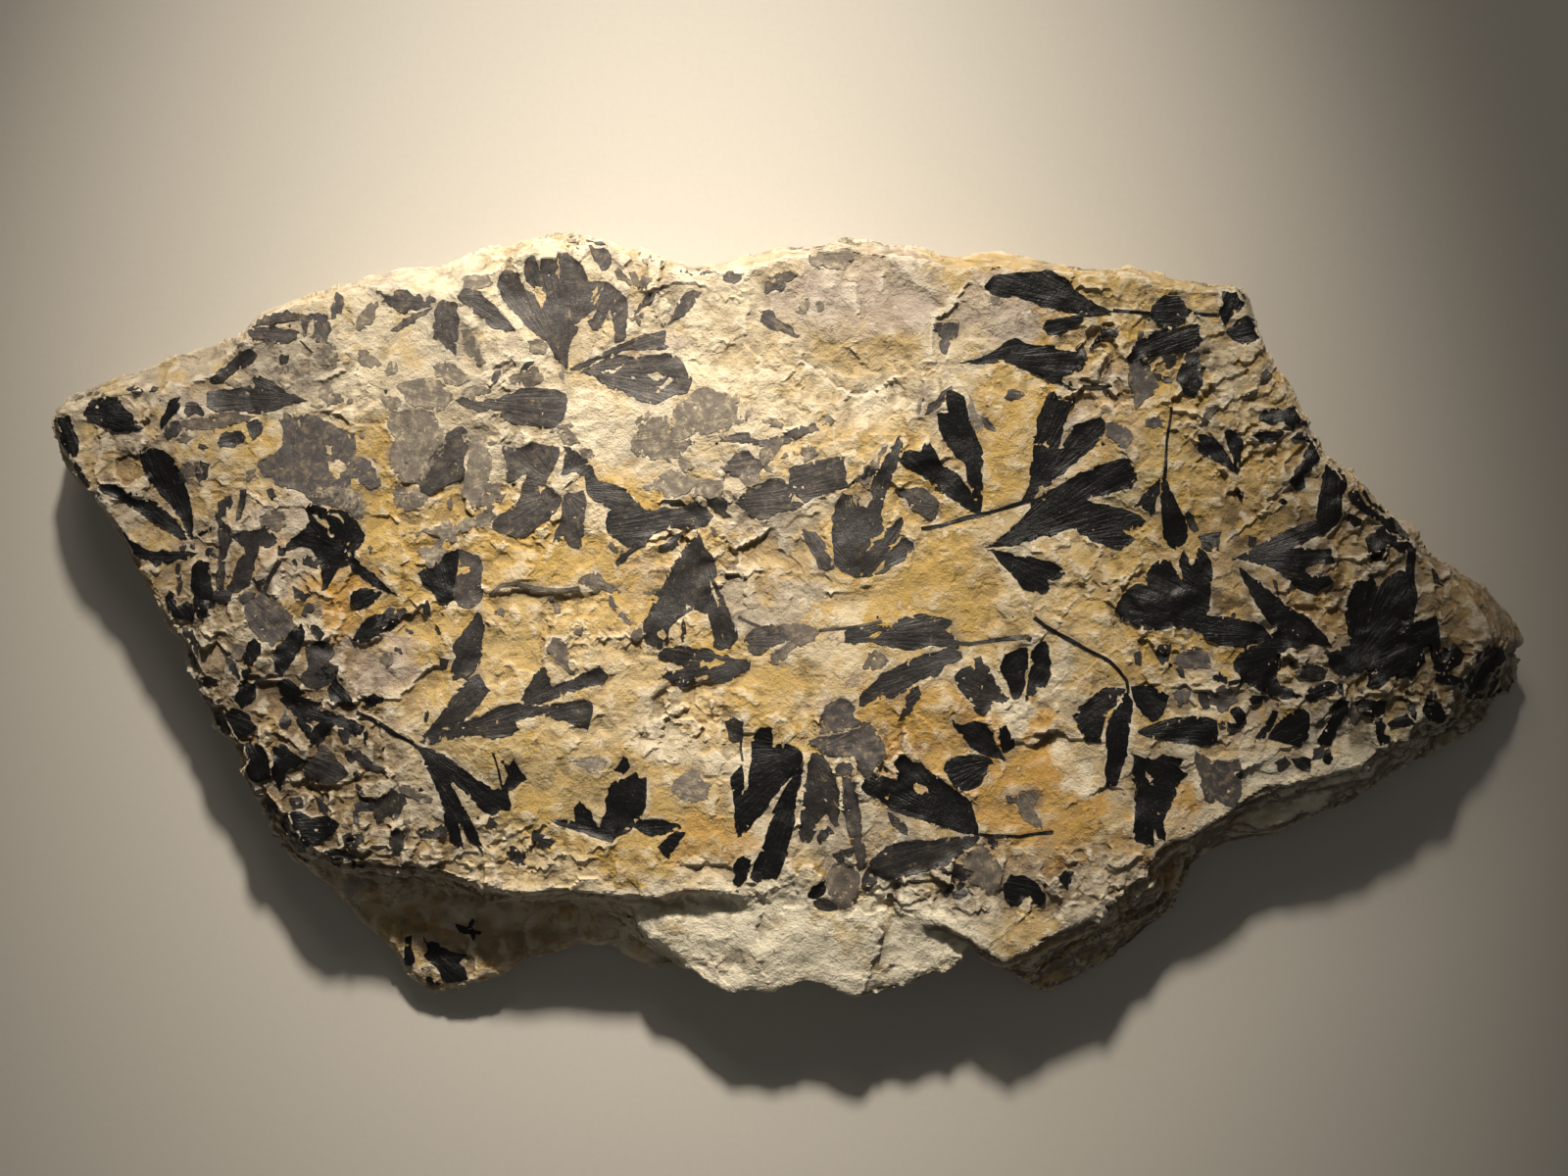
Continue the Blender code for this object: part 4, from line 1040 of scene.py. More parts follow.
def make_siltstone():
    """Siltstone split along its bedding and never polished: a matt, fine sandy skin, stained by iron in
    sheets that end at the edge of a flake, painted paler where it stands proud as a painted highlight and
    browner in the hollows as painted shade, and lined with dark seams where a broken side cuts through the
    bedding."""
    made, tree = material("split siltstone, iron stained")
    stain, under = (node(tree, "ShaderNodeAttribute", attribute_name=name).outputs["Color"]
                    for name in ("stain", "under"))
    proud, side, hackle = (node(tree, "ShaderNodeAttribute", attribute_name=name).outputs["Fac"]
                           for name in ("proud", "side", "hackle"))
    place = in_millimetres(tree)
    bent = warped(tree, place, 9.0, 8.0)
    layers = node(tree, "ShaderNodeVectorMath", {0: bent, 1: (0.05, 0.05, 1.0)}, operation="MULTIPLY")
    speckle = node(tree, NOISE, {"Vector": place, "Scale": 1 / 0.6, "Detail": 3.0, "Roughness": 0.75})
    cloud = node(tree, NOISE, {"Vector": bent, "Scale": 1 / 16.0, "Detail": 6.0, "Roughness": 0.62})
    blotch = node(tree, NOISE, {"Vector": bent, "Scale": 1 / 6.5, "Detail": 6.0, "Roughness": 0.66})
    bands = node(tree, NOISE, {"Vector": layers, "Scale": 1 / 2.6, "Detail": 3.0, "Roughness": 0.6})
    sheet = node(tree, "ShaderNodeMapRange", {0: cloud, 1: 0.54, 2: 0.58})
    scrap = node(tree, "ShaderNodeMapRange", {0: blotch, 1: 0.615, 2: 0.655})
    seams = sum_of(tree, (node(tree, "ShaderNodeMapRange", {0: bands, 1: 0.43, 2: 0.37}), side))
    colour = tinted(tree, stain,
                    (sheet, 0.0, 1.0, 1.0, under),
                    (scrap, 0.0, 1.0, 0.4, TINTS["rim"]),
                    (blotch, 0.4, 0.25, 0.2, TINTS["dust"]),
                    # Proud places are painted paler, a painted highlight, and hollows darker, painted shade.
                    (proud, 0.25, 1.1, 0.45, TINTS["rim"]),
                    (proud, -0.3, -1.2, 0.45, TINTS["dust"]),
                    (speckle, 0.55, 0.75, 0.2, TINTS["brown"]),
                    (speckle, 0.45, 0.3, 0.15, TINTS["rim"]),
                    (seams, 0.0, 1.0, 0.75, TINTS["brown"]))
    roughness = node(tree, "ShaderNodeMapRange", {0: speckle, 1: 0.3, 2: 0.7, 3: 0.86, 4: 0.97})
    height = sum_of(tree, (broken_height(tree, place, hackle),), (seams, -0.6), (sheet, 0.22), (scrap, -0.2))
    finish_surface(tree, colour, roughness, STONE_IOR, height)
    return made


def make_film(name, dark, light, fleck, fleck_share, roughness, ior=1.55, lined=1.0):
    """Leaf tissue turned to a film of coal: near black, with a painted sheen in a lighter colour along the
    veins and in patches, dulled and flecked with stone wherever the film has worn through. As `lined` falls,
    the veins give way to a cloudy, patchy stain."""
    made, tree = material(name)
    place = in_millimetres(tree)
    veins = node(tree, "ShaderNodeAttribute", attribute_name="veins").outputs["Vector"]
    # Veins stand about 0.7 mm apart; they are drawn 1.2 mm apart so that they show.
    run = node(tree, "ShaderNodeMapping", {"Vector": veins, "Scale": (1 / 1.2, 1 / 22.0, 1.0)})
    scratch = node(tree, "ShaderNodeMapping", {"Vector": veins, "Scale": (1 / 0.7, 1 / 7.0, 1.0)})
    bent = warped(tree, place, 5.0, 4.0)
    streak = node(tree, NOISE, {"Vector": run, "Scale": 1.0, "Detail": 3.0, "Roughness": 0.6})
    line = node(tree, NOISE, {"Vector": scratch, "Scale": 1.0, "Detail": 2.0, "Roughness": 0.7})
    patch = node(tree, NOISE, {"Vector": place, "Scale": 1 / 7.0, "Detail": 4.0, "Roughness": 0.6})
    fine = node(tree, NOISE, {"Vector": place, "Scale": 1 / 0.8, "Detail": 3.0, "Roughness": 0.7})
    cloud = node(tree, NOISE, {"Vector": bent, "Scale": 1 / 3.5, "Detail": 5.0, "Roughness": 0.66})
    # The film is worn through where three patterns together, the lines weighing most, near the most that they
    # come to.
    line = sum_of(tree, (line, LINE_WEIGHT * lined), (cloud, LINE_WEIGHT * (1 - lined)))
    wear = sum_of(tree, (fine,), (line,), (patch,))
    most = 2 + LINE_WEIGHT
    through = most * (0.63 - 0.08 * fleck_share)
    # On the streaks and patches the lighter colour is a painted sheen; in the clouds of a faded film it is a
    # paler stain.
    colour = tinted(tree, dark,
                    (streak, 0.35, 0.7, 0.85 * lined, light),
                    (patch, 0.48, 0.72, 0.6, light),
                    (cloud, 0.42, 0.6, 0.9 * (1 - lined), light),
                    (cloud, 0.52, 0.66, 0.8 * (1 - lined), fleck),
                    (wear, through - 0.01 * most, through + 0.01 * most, 1.0, fleck))
    shine = node(tree, "ShaderNodeMapRange",
                 {0: fine, 1: 0.3, 2: 0.7, 3: roughness - 0.08, 4: roughness + 0.14})
    height = sum_of(tree, (broken_height(tree, place, 0.0), 0.42), (streak, 0.36))
    finish_surface(tree, colour, shine, ior, height)
    return made


SILTSTONE = make_siltstone()
FILMS = {
    "coal": make_film("coalified leaf film", "#060505", "#111010", "#6d5e43", 0.1, 0.42, 1.45),
    "worn": make_film("coalified leaf film, rubbed thin", "#1c1a1a", "#353130", "#8a7a58", 0.4, 0.5,
                      lined=0.85),
    "dull": make_film("coalified leaf film, dulled to grey", "#2c2929", "#544e4a", "#9c8a68", 0.45, 0.55,
                      lined=0.75),
    "faded_dark": make_film("leaf film faded to grey", "#3f3b3a", "#655e5a", "#9a8866", 0.4, 0.7, lined=0.35),
    "faded": make_film("leaf film faded to a stain", "#575049", "#776d62", "#998b71", 0.6, 0.85, lined=0.2),
    "ghost": make_film("leaf film almost gone", "#6d655b", "#908678", "#b5a88c", 0.7, 0.9, lined=0.1),
}


# The slab -----------------------------------------------------------------------------------------

def open_tree(name, inputs):
    """A geometry tree with these inputs, whole numbers where their values are, and what it is given."""
    tree = bpy.data.node_groups.new(name, "GeometryNodeTree")
    tree.interface.new_socket(name="Geometry", in_out="INPUT", socket_type="NodeSocketGeometry")
    for label, value in inputs.items():
        kind = "NodeSocketInt" if isinstance(value, int) else "NodeSocketFloat"
        tree.interface.new_socket(name=label, in_out="INPUT", socket_type=kind)
    tree.interface.new_socket(name="Geometry", in_out="OUTPUT", socket_type="NodeSocketGeometry")
    return tree, node(tree, "NodeGroupInput").outputs


def close_tree(tree, geometry, finish):
    real = node(tree, "GeometryNodeRealizeInstances", {"Geometry": geometry})
    done = node(tree, "GeometryNodeSetMaterial", {"Geometry": real, "Material": finish})
    node(tree, "NodeGroupOutput", {"Geometry": done})
    return tree


def run_tree(made, tree, inputs):
    """Runs the tree on the object, with each input set by its identifier."""
    run = made.modifiers.new(tree.name, "NODES")
    run.node_group = tree
    for item in tree.interface.items_tree:
        if item.in_out == "INPUT" and item.name in inputs:
            run[item.identifier] = inputs[item.name]


def outward(tree, height_mm):
    """That many millimetres out along the surface's own direction, as an offset in metres."""
    up = node(tree, "GeometryNodeInputNormal")
    return node(tree, "ShaderNodeVectorMath", {0: up, 3: sum_of(tree, (height_mm, MM))}, operation="SCALE")


def relief_tree():
    """Stone relief: broad swells, the tilted planes left where flakes came away, ridges, grain, and bedding
    on the sides."""
    tree, given = open_tree("stone relief", RELIEF)
    here = node(tree, "GeometryNodeInputPosition")
    place = node(tree, "ShaderNodeVectorMath", {0: here, 3: 1000.0}, operation="SCALE")
    bent = warped(tree, place, 16.0, 13.0)
    turned = node(tree, "ShaderNodeVectorRotate", {"Vector": bent, "Angle": math.radians(-38)})
    turned = node(tree, "ShaderNodeVectorMath", {0: turned, 1: (0.4, 1.1, 1.0)}, operation="MULTIPLY")
    bedded = node(tree, "ShaderNodeVectorMath", {0: bent, 1: (0.06, 0.06, 1.0)}, operation="MULTIPLY")
    share = {name: node(tree, "GeometryNodeInputNamedAttribute", {"Name": name}, data_type="FLOAT")
             for name in ("rough", "dimpled", "ridged", "pitted", "side", "ledge", "loose")}

    def wave(where, size, detail, seed):
        """Smooth values from -1 to 1 that change over `size` millimetres."""
        value = node(tree, NOISE,
                     {"Vector": where, "W": sum_of(tree, (given["Seed"],), (seed,)), "Scale": 1.0 / size,
                      "Detail": detail}, noise_dimensions="4D")
        return sum_of(tree, (node(tree, "ShaderNodeMath", {0: value, 1: 0.5}, operation="SUBTRACT"), 2.0))

    flakes = sum_of(tree, (facets(tree, bent, 30.0, 0.1, 0.5),), (facets(tree, bent, 13.0, 0.2, 0.6),),
                    (facets(tree, warped(tree, place, 6.0, 4.0), 5.5, 0.16, 0.14),))
    broken = sum_of(tree, (flakes, given["Flakes"]),
                    (facets(tree, turned, 11.0, 0.2, 0.9), given["Ridges"], share["ridged"]),
                    (wave(place, 2.2, 2.0, 4.0), given["Grain mm"]))
    pits = sum_of(tree, (wave(place, 8.0, 2.0, 9.0),), (0.34,))
    pits = node(tree, "ShaderNodeMath", {0: pits, 1: 0.0}, operation="MINIMUM")
    rolling = sum_of(tree, (wave(place, 70.0, 2.0, 0.0), given["Swell mm"]),
                     (wave(bent, 26.0, 1.0, 6.0), given["Rolls mm"]),
                     (wave(bent, 9.0, 2.0, 8.0), given["Dimples mm"], share["dimpled"]),
                     (pits, given["Pits mm"], share["pitted"]))
    height = sum_of(tree, (broken, share["rough"]),
                    (facets(tree, bedded, 3.0, 0.25, 0.6), given["Bedding mm"], share["side"]),
                    (rolling,), (share["ledge"],))
    height = sum_of(tree, (height, share["loose"]))
    moved = node(tree, "GeometryNodeSetPosition",
                 {"Geometry": given["Geometry"], "Offset": outward(tree, height)})
    return close_tree(tree, moved, SILTSTONE)


def near_leaf(points):
    """How far each point of the plan is outside the nearest leaf, negative inside and at most 4 mm."""
    reach = 4.0
    out = np.full(len(points), reach)
    for leaf in leaves:
        out = np.minimum(out, leaf.distance(points, reach))
    return out


def ledge_places(spots, up):
    """Ledge by ledge: the points near it, how far each is from its edge, whether it is on the low side, the
    drop there, and the reach."""
    for text, drop, reach in LEDGES:
        line = plan(text)
        near = np.flatnonzero(in_box(spots, line, 3 * reach) & (up > 0.3))
        here = spots[near].T
        wobble = spots[near] + 3.0 * np.column_stack([ripple(*here, 13.0, 41), ripple(*here, 13.0, 42)]) \
            + 1.1 * np.column_stack([ripple(*here, 4.0, 46), ripple(*here, 4.0, 47)])
        gap, side = to_line(wobble, line)
        ends = np.minimum(*(np.linalg.norm(spots[near] - end, axis=1) for end in (line[0], line[-1])))
        fall = drop * ease(-2.0, 9.0, ends) * (0.75 + 0.45 * ripple(*here, 10.0, 48))
        yield near, gap, side > 0, fall, reach


def cut_slab():
    """The CAD solid's own form, cut finely and evenly."""
    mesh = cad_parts["fossil_slab"].data.copy()
    work = bmesh.new()
    work.from_mesh(mesh)
    bmesh.ops.remove_doubles(work, verts=work.verts, dist=1e-5)
    work.to_mesh(mesh)
    work.free()
    mesh.materials.clear()
    mesh.materials.append(SILTSTONE)
    rough_cut = new_object("slab_rough_cut", mesh)
    cut = rough_cut.modifiers.new("cut", "REMESH")
    cut.mode, cut.voxel_size, cut.adaptivity = "VOXEL", VOXEL * MM, 0.0
    return plain_mesh(rough_cut, "slab_cut")


def in_ovals(ovals, x, y, rim, core, wander, size, seed):
    """1 inside the ovals and 0 outside them, easing in from `rim` to `core`, with an edge that wanders."""
    out = np.zeros(len(x))
    for oval in ovals:
        out = np.maximum(out, ease(rim, core, patch_gap(x, y, *oval) + wander * ripple(x, y, size, seed)))
    return out


def build_slab():
    """The stone: the fine cut, with values at its points that tell the relief where to be calm, hackly,
    ridged, pitted or bedded, and how deep each ledge is; then the relief itself."""
    slab = cut_slab()
    points = positions(slab.data)
    up = normals(slab.data)[:, 2].astype(float)
    spots = seen_from_eye(points)
    x, y = spots.T
    facing = ease(0.35, 0.75, up)
    under_film = ease(0.6, -0.8, near_leaf(spots)) * facing
    ledge = np.zeros(len(points))
    for near, gap, low_side, fall, reach in ledge_places(spots, up):
        lip = -0.15 * np.exp(-gap / 2.5)
        ledge[near] -= fall * np.where(low_side, 1 - ease(0.2 * reach, 2.2 * reach, gap), lip)
    ledge -= facing * 0.25 * under_film
    calm = in_ovals(CALM, x, y, 1.15, 0.6, 0.25, 14.0, 40)
    hackly = in_ovals(HACKLY, x, y, 1.2, 0.7, 0.3, 18.0, 49)
    rough = (0.3 + 0.35 * ease(-0.3, 0.6, mottle(x, y, 40.0, 44))) * (1 - 0.7 * calm)
    rough = np.maximum(rough, 1.15 * hackly * (1 - 0.5 * calm)) * (1 - 0.7 * under_film)
    store(slab.data, "rough", rough)
    store(slab.data, "dimpled", (np.minimum(rough, 0.7) + 0.3) * (1 - 0.45 * under_film))
    store(slab.data, "hackle", np.maximum(rough, 0.9 * ease(0.55, 0.2, up)))
    store(slab.data, "ridged", ease(70.0, 150.0, x + 25 * ripple(x, y, 40.0, 45)) * facing)
    patchy = 0.35 + 0.65 * ease(-0.3, 0.5, mottle(x, y, 30.0, 52))
    store(slab.data, "pitted", facing * (1 - under_film) * patchy)
    slope = ease(0.86, 0.66, np.abs(up)) * near_low_break(points)
    store(slab.data, "side", np.maximum(ease(0.6, 0.3, np.abs(up)), slope))
    store(slab.data, "ledge", ledge)
    store(slab.data, "loose", ease(0.3, 5.0, points[:, 2]))

    run_tree(slab, relief_tree(), RELIEF)
    triangles = sum(len(p.vertices) - 2 for p in slab.data.polygons)
    thin = slab.modifiers.new("thin", "DECIMATE")
    thin.ratio = SLAB_TRIANGLES / triangles
    slab = plain_mesh(slab, "slab")
    for name in ("rough", "dimpled", "ridged", "pitted", "ledge", "loose"):
        if name in slab.data.attributes:
            slab.data.attributes.remove(slab.data.attributes[name])
    slab.data.shade_flat()
    return slab


PROUD_STEP = 0.12


def near_low_break(points):
    """1 round the sloping break at the right of the stepped edge, and 0 away from it."""
    return ease(-20.0, -45.0, points[:, 1]) * ease(0.0, 40.0, points[:, 0])


def proudness(mesh, points):
    """How far each point stands out from its neighbours, evened out twice, as a share of PROUD_STEP."""
    edges = np.empty(len(mesh.edges) * 2, np.int32)
    mesh.edges.foreach_get("vertices", edges)
    a, b = edges.reshape(-1, 2).T
    around = np.zeros_like(points)
    count = np.bincount(np.concatenate([a, b]), minlength=len(points))[:, None]
    np.add.at(around, a, points[b])
    np.add.at(around, b, points[a])
    bulge = ((points - around / count) * normals(mesh)).sum(1)
    for _ in range(2):
        spread = np.zeros(len(points))
        np.add.at(spread, a, bulge[b])
        np.add.at(spread, b, bulge[a])
        bulge = 0.5 * bulge + 0.5 * spread / count[:, 0]
    return bulge / PROUD_STEP


def stain_slab(slab):
    points = positions(slab.data)
    up = normals(slab.data)[:, 2].astype(float)
    spots = seen_from_eye(points)
    x, y = spots.T
    tint = {name: np.array(linear(colour)[:3]) for name, colour in TINTS.items()}
    colour = np.tile(tint["beige"], (len(points), 1))
    under = np.tile(tint["ochre"], (len(points), 1))

    def lay(name, amount, sheet=colour):
        sheet[:] = sheet + (tint[name] - sheet) * amount[:, None]

    lay("ochre", 0.6 * ease(0.0, 0.3, mottle(x, y, 46.0, 50)))
    lay("cream", 0.6 * ease(0.05, 0.25, mottle(x, y, 30.0, 54)))
    lay("beige", ease(-0.1, 0.3, mottle(x, y, 50.0, 56)), under)
    lay("rose", 0.8 * ease(0.1, 0.4, mottle(x, y, 40.0, 58)), under)
    bent_x = x + 7 * ripple(x, y, 16.0, 60) + 3.5 * ripple(x, y, 5.0, 61)
    bent_y = y + 7 * ripple(x, y, 16.0, 62) + 3.5 * ripple(x, y, 5.0, 63)
    for *oval, name, strength in STAINS:
        gap = patch_gap(bent_x, bent_y, *oval)
        lay(name, strength * ease(1.12, 0.86, gap))
        lay(name, 0.55 * strength * ease(1.3, 0.9, gap), under)
    lay("ochre", 0.5 * ease(0.12, 0.18, mottle(x, y, 12.0, 66)) * ease(-0.2, 0.3, mottle(x, y, 60.0, 70)))
    for oval in GRIMY:
        gap = patch_gap(bent_x, bent_y, *oval)
        lay("brown", 0.8 * ease(1.15, 0.75, gap) * ease(0.08, 0.3, mottle(x, y, 11.0, 72)))
    gap = near_leaf(spots)
    lay("smoke", 0.65 * ease(3.4, 0.0, gap) * ease(0.0, 0.3, mottle(x, y, 9.0, 68)))
    lay("rim", 0.5 * ease(1.6, 0.3, gap) * ease(0.05, 0.35, ripple(x, y, 5.0, 43)))
    # Along each ledge the upper edge is painted pale, a painted highlight, and the foot on the low side is
    # painted darker, a painted shadow.
    ledge_highlight, foot = np.zeros(len(points)), np.zeros(len(points))
    for near, gap, low_side, fall, _ in ledge_places(spots, up):
        ledge_highlight[near] = np.maximum(ledge_highlight[near], ease(2.4, 0.6, gap + 0.8 * low_side) * ease(0.2, 1.0, fall))
        foot[near] = np.maximum(foot[near], low_side * ease(4.0, 0.5, gap) * ease(0.3, 1.5, fall))
    lay("rim", 0.5 * ledge_highlight)
    lay("dust", 0.4 * foot)
    broken = ease(0.6, 0.3, np.abs(up)) * (points[:, 2] > 0.5)
    # The sloping break at the lower right is painted darker: painted shade, as it faces away from the lamps.
    painted_shade = ease(0.88, 0.7, np.abs(up)) * near_low_break(points)
    for sheet in (colour, under):
        lay("ash", 0.5 * broken, sheet)
        lay("beige", 0.6 * painted_shade, sheet)
        lay("smoke", 0.75 * painted_shade, sheet)
        lay("brown", 0.35 * painted_shade, sheet)
    flat_back = points[:, 2] < 1.0
    colour[flat_back] = 0.6 * tint["beige"] + 0.4 * tint["ash"]
    under[flat_back] = 0.4 * tint["beige"] + 0.6 * tint["ash"]
    for name, sheet in (("stain", colour), ("under", under)):
        store(slab.data, name, np.column_stack([sheet, np.ones(len(points))]), "FLOAT_COLOR")
    store(slab.data, "proud", np.where(flat_back, 0.0, proudness(slab.data, points)))


slab = build_slab()
stain_slab(slab)
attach(slab, "root")
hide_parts("fossil_slab")


# The leaf films -----------------------------------------------------------------------------------

# A film's height is taken from the stone at these places round each of its points, the point itself first.
NEAR = ((0.0, 0.0), (0.6, 0.5), (-0.6, 0.5), (0.6, -0.5), (-0.6, -0.5))


def drape(flat):
    """The places on the slab that the eye sees at these points of the plan, lifted clear of the stone round
    them."""
    eye = Vector(EYE * MM)
    out = np.full((len(flat), 3), np.nan)
    for k, (x, y) in enumerate(flat):
        places = []
        for dx, dy in NEAR:
            ray = (Vector((x + dx, y + dy, FACE_HEIGHT)) * MM - eye).normalized()
            hit, place, _, _ = slab.ray_cast(eye, ray)
            if hit:
                places.append(np.array(place) / MM)
        if len(places) == len(NEAR):
            out[k] = places[0]
            out[k, 2] = min(max(place[2] for place in places), places[0][2] + FILM_LIFT)
    return out


def only_used(faces, *arrays):
    """The faces renumbered over the points that they use, and the arrays cut down to those points."""
    used = np.unique(faces)
    index = np.full(len(arrays[0]), -1)
    index[used] = np.arange(len(used))
    return index[faces], *(array[used] for array in arrays)


def build_leaf(leaf):
    """The leaf's film, closed all round: its face just above the stone, its back just inside it."""
    flat, faces = leaf.triangles()
    faces, flat = only_used(faces, flat)
    ground = drape(flat)
    fall = np.ptp(ground[faces][:, :, 2], axis=1)
    faces = faces[(fall < FILM_FALL) & ~np.isnan(fall)]
    faces, flat, ground = only_used(faces, flat, ground)
    spin = np.cross(flat[faces[:, 1]] - flat[faces[:, 0]], flat[faces[:, 2]] - flat[faces[:, 0]])
    faces[spin < 0] = faces[spin < 0][:, ::-1]
    top = ground + (0, 0, FILM_PROUD)
    bottom = ground - (0, 0, FILM_SUNK)
    ends = np.concatenate([faces[:, [0, 1]], faces[:, [1, 2]], faces[:, [2, 0]]])
    keys = ends.min(1) * len(flat) + ends.max(1)
    _, first, count = np.unique(keys, return_index=True, return_counts=True)
    rim = ends[first[count == 1]]
    size = len(flat)
    walls = [(b, a, a + size) for a, b in rim] + [(b, a + size, b + size) for a, b in rim]
    solid = np.concatenate([faces, faces[:, ::-1] + size, np.array(walls)])
    made = mesh_object("leaf_" + leaf.name, np.concatenate([top, bottom]), solid, FILMS[leaf.tone])
    made.data.set_sharp_from_angle(angle=math.radians(40))
    veins = leaf.veins(flat)
    store(made.data, "veins", np.concatenate([veins, veins]), "FLOAT_VECTOR")
    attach(made, "root")


# The rays that drape a leaf need the slab in the scene as it now is.
bpy.context.view_layer.update()
for leaf in leaves:
    build_leaf(leaf)

SHORTEST_SCRAP = 3.0


def shred(centre, length, random):
    """A torn scrap of leaf, long and narrow or nearly square, written as column,row corners."""
    width = length * random.uniform(0.25, 0.8)
    corners = np.array([(-0.5, -0.4), (-0.1, -0.5), (0.5, -0.3), (0.42, 0.25), (0.05, 0.5), (-0.45, 0.35)])
    corners = (corners + random.uniform(-0.12, 0.12, corners.shape)) * (length, width) / SQUARE
    turn = random.normal(0.9, 0.8)
    corners = corners @ np.array([(math.cos(turn), math.sin(turn)), (-math.sin(turn), math.cos(turn))])
    return " ".join("%.1f,%.1f" % tuple(centre + corner) for corner in corners)


def litter():
    """Scraps of leaf strewn thickly over the rough parts, none of them on a leaf film."""
    random = np.random.default_rng(31)
    for number, (column, row, wide, high, count, longest, tone) in enumerate(LITTER, 1):
        angle, reach = random.uniform(0, 2 * math.pi, 6 * count), np.sqrt(random.uniform(0, 1, 6 * count))
        spots = np.column_stack([column + wide * reach * np.cos(angle), row + high * reach * np.sin(angle)])
        spread = random.uniform(0, 1, 6 * count) ** 1.4
        lengths = SHORTEST_SCRAP + (longest - SHORTEST_SCRAP) * spread
        places = np.array((PLAN_LEFT, PLAN_TOP)) + SQUARE * np.array((1, -1)) * spots
        clustered = mottle(*places.T, 18.0, 90) > random.uniform(-0.2, 0.4, 6 * count)
        kept = np.flatnonzero(clustered & (near_leaf(places) > 0.12 * lengths))[:count]
        scraps = tuple(shred(spots[k], lengths[k], random) for k in kept)
        yield Leaf(len(leaves) + number, "litter_%d" % number, tone, None, scraps, (), ())


for scrap in litter():
    build_leaf(scrap)


# Loose carbon flecks and stone crumbs -------------------------------------------------------------

def chip_object(name, random, flatness):
    """A small angular chip of twenty faces."""
    work = bmesh.new()
    bmesh.ops.create_icosphere(work, subdivisions=1, radius=0.5)
    for vertex in work.verts:
        vertex.co *= random.uniform(0.4, 1.3)
        vertex.co.z *= flatness
    mesh = bpy.data.meshes.new(name)
    work.to_mesh(mesh)
    work.free()
    return new_object(name, mesh)


def scatter_tree(name, chip, finish, inputs):
    """Chips strewn where the attribute of this name is high, each lying flat on the stone."""
    tree, given = open_tree(name, inputs)
    thick = node(tree, "GeometryNodeInputNamedAttribute", {"Name": name}, data_type="FLOAT")
    density = sum_of(tree, (thick, given["Per square metre"]))
    spread = node(tree, "GeometryNodeDistributePointsOnFaces",
                  {"Mesh": given["Geometry"], "Density": density, "Seed": given["Seed"]})
    shape = node(tree, "GeometryNodeObjectInfo", {"Object": chip}, transform_space="ORIGINAL")
    small, large = (sum_of(tree, (given[label], MM)) for label in ("Smallest mm", "Largest mm"))
    lot = node(tree, "FunctionNodeRandomValue", {2: 0.0, 3: 1.0, "Seed": given["Seed"]}, data_type="FLOAT")
    lot = node(tree, "ShaderNodeMath", {0: lot.outputs[1], 1: 2.5}, operation="POWER")
    size = node(tree, "ShaderNodeMapRange", {0: lot, 1: 0.0, 2: 1.0, 3: small, 4: large})
    spun = node(tree, "FunctionNodeRandomValue", {0: (0.0, 0.0, 0.0), 1: (0.0, 0.0, 6.28), "Seed": 11},
                data_type="FLOAT_VECTOR")
    turned = node(tree, "FunctionNodeRotateRotation", {0: spread.outputs["Rotation"], 1: spun},
                  rotation_space="LOCAL")
    laid = node(tree, "GeometryNodeInstanceOnPoints",
                {"Points": spread, "Instance": shape.outputs["Geometry"], "Rotation": turned, "Scale": size})
    return close_tree(tree, laid, finish)


def scatter(name, density, chip, finish, inputs):
    store(slab.data, name, density)
    carrier = new_object(name + "_carrier", slab.data)
    run_tree(carrier, scatter_tree(name, chip, finish, inputs), inputs)
    made = plain_mesh(carrier, name)
    bpy.data.objects.remove(chip)
    slab.data.attributes.remove(slab.data.attributes[name])
    return made


def make_crumb():
    """Crumbs of the same siltstone, paler than the face because they broke off last."""
    made, tree = material("siltstone crumbs")
    place = in_millimetres(tree)
    tone = node(tree, NOISE, {"Vector": place, "Scale": 1 / 6.0, "Detail": 3.0, "Roughness": 0.55})
    grain = node(tree, NOISE, {"Vector": place, "Scale": 1 / 0.6, "Detail": 3.0, "Roughness": 0.55})
    colour = tinted(tree, "#a2926f", (tone, 0.35, 0.65, 1.0, "#cfc4a6"))
    finish_surface(tree, colour, 0.92, STONE_IOR, grain, 0.4, 0.5 * MM)
    return made


def strewn_places():
    points = positions(slab.data)
    up = normals(slab.data)[:, 2].astype(float)
    x, y = seen_from_eye(points).T
    gap = near_leaf(seen_from_eye(points))
    top = ease(0.5, 0.8, up) * (points[:, 2] > 5)
    carbon = 0.15 + 1.6 * ease(0.15, 0.6, mottle(x, y, 38.0, 80)) + 1.2 * ease(3.9, 1.0, gap)
    stone = 0.2 + 1.5 * ease(0.0, 0.5, mottle(x, y, 30.0, 84))
    return top * carbon * (gap > 0.4), top * stone * (gap > 0.4)


chip_random = np.random.default_rng(21)
carbon, stone = strewn_places()
flecks = scatter("carbon_flecks", carbon, chip_object("carbon_chip", chip_random, 0.22), FILMS["coal"],
                 {"Per square metre": 1800.0, "Smallest mm": 0.4, "Largest mm": 2.6, "Seed": 5})
crumbs = scatter("stone_crumbs", stone, chip_object("stone_chip", chip_random, 0.6), make_crumb(),
                 {"Per square metre": 3500.0, "Smallest mm": 0.6, "Largest mm": 1.8, "Seed": 9})
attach(flecks, "root")
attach(crumbs, "root")


# Floor, light and camera --------------------------------------------------------------------------

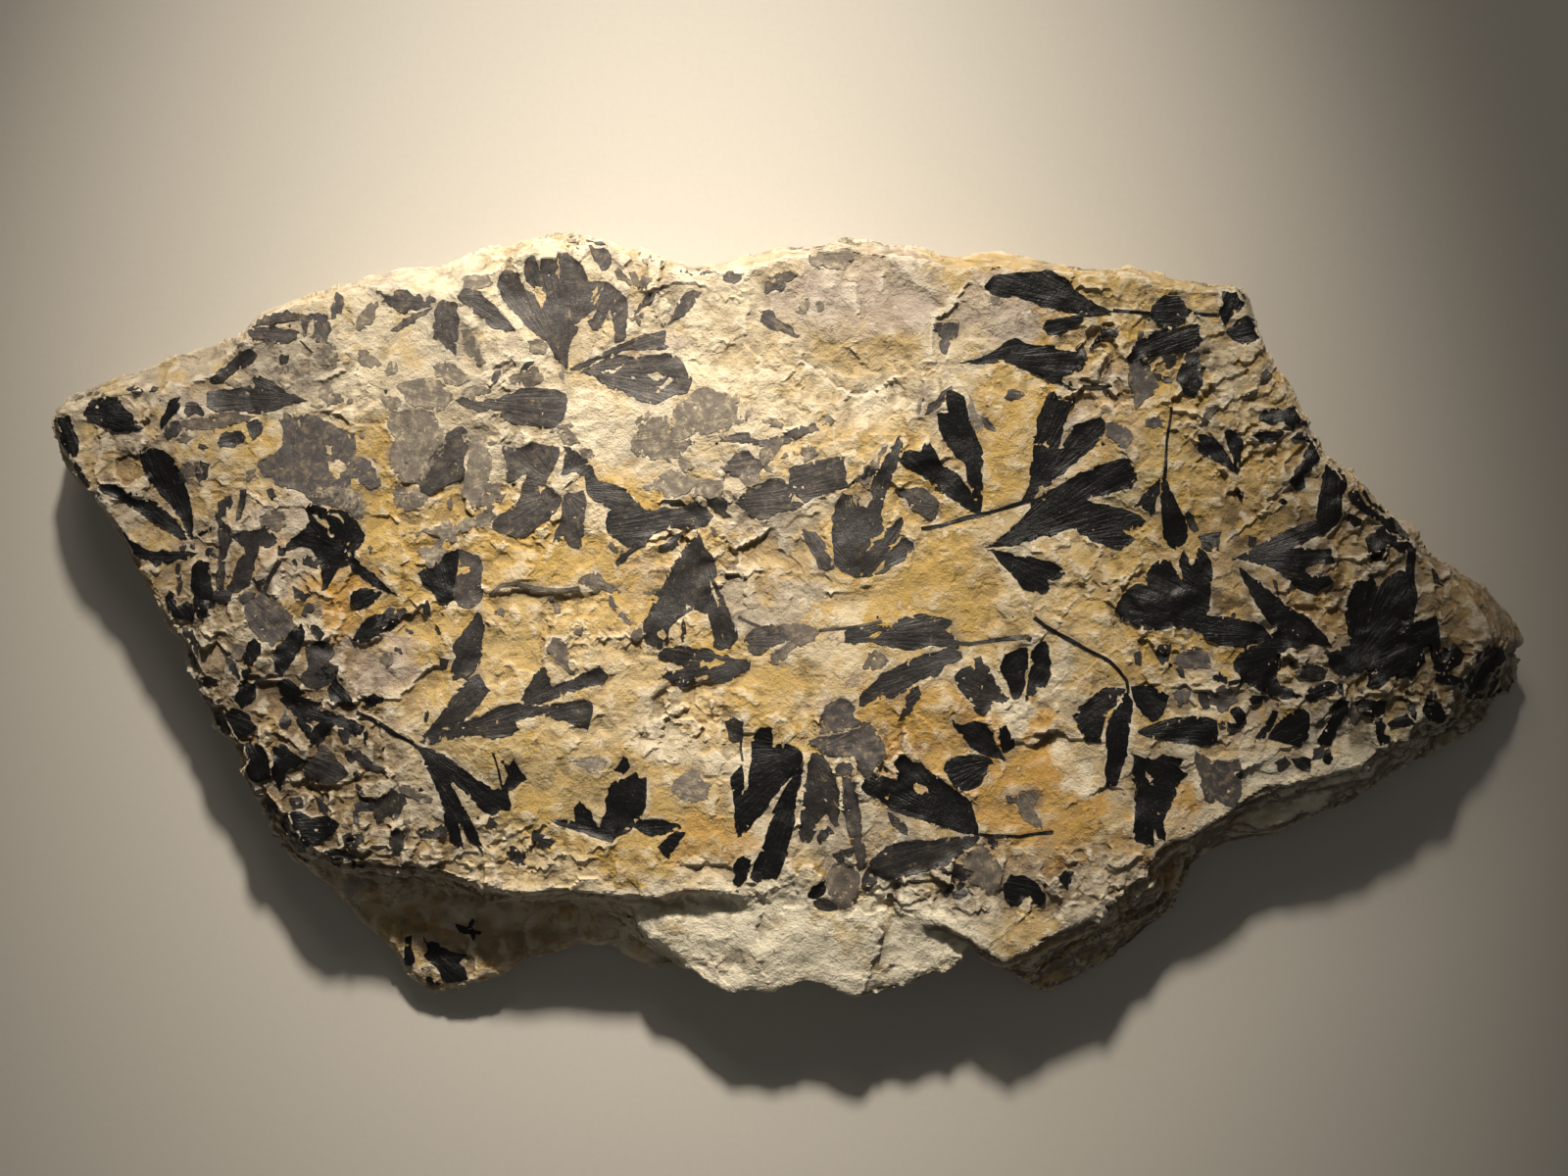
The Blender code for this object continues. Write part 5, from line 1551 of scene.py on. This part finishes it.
def make_floor():
    """Plain pale matt board."""
    made, tree = material("pale matt board")
    tone = node(tree, NOISE,
                {"Vector": in_millimetres(tree), "Scale": 1 / 2.5, "Detail": 3.0, "Roughness": 0.55})
    colour = tinted(tree, "#cfcac0", (tone, 0.3, 0.7, 0.3, "#c7c2b7"))
    finish_surface(tree, colour, 0.85, 1.5, tone, 0.08, 0.5 * MM)
    return made


# A round board, so that its edge makes a level horizon, just clear of the underside of the stone.
FLOOR_REACH, FLOOR_CORNERS, FLOOR_TOP = 12000, 96, -0.2
turns = np.arange(FLOOR_CORNERS) * 2 * math.pi / FLOOR_CORNERS
ring = np.column_stack([FLOOR_REACH * np.cos(turns), FLOOR_REACH * np.sin(turns),
                        np.full(FLOOR_CORNERS, FLOOR_TOP)])
floor = mesh_object("floor", ring, [tuple(range(FLOOR_CORNERS))], make_floor())
floor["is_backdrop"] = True


# Round lamps: name, width in metres, spread in degrees, place and the point it faces, both in metres, watts
# and colour. A soft one above the top edge rakes the face; two wider ones and the dim room keep the shadows
# open.
LAMPS = (
    ("key", 0.12, 32, (-0.04, 1.12, 0.84), (-0.055, 0.08, 0.04), 1.12, "#fff5e6"),
    ("wide", 0.5, 180, (-0.25, 1.2, 0.86), (-0.05, 0.0, 0.0), 2.6, "#fff3e4"),
    ("fill", 1.6, 180, (0.3, -1.6, 1.8), (0.0, 0.0, 0.0), 0.6, "#fff8f0"),
)
ROOM_COLOUR, ROOM_STRENGTH = "#f2efea", 0.075
LENS, SENSOR = 50.0, 36.0

for name, width, spread, place, target, power, colour in LAMPS:
    light = bpy.data.lights.new(name, "AREA")
    light.shape, light.size, light.spread = "DISK", width, math.radians(spread)
    light.energy, light.color = power, linear(colour)[:3]
    lamp = new_object(name, light)
    lamp.location = place
    lamp.rotation_euler = (Vector(target) - Vector(place)).to_track_quat("-Z", "Y").to_euler()

world = bpy.data.worlds.new("studio")
world.use_nodes = True
room = world.node_tree.nodes["Background"].inputs
room["Color"].default_value, room["Strength"].default_value = linear(ROOM_COLOUR), ROOM_STRENGTH
bpy.context.scene.world = world
bpy.context.scene.view_settings.view_transform = "Standard"

camera = new_object("camera", bpy.data.cameras.new("camera"))
camera.data.lens, camera.data.sensor_width = LENS, SENSOR
camera.location = EYE * MM
bpy.context.scene.camera = camera

[[list(map(float, corner)) for corner in box] for box in (CAD_BOX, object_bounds())]
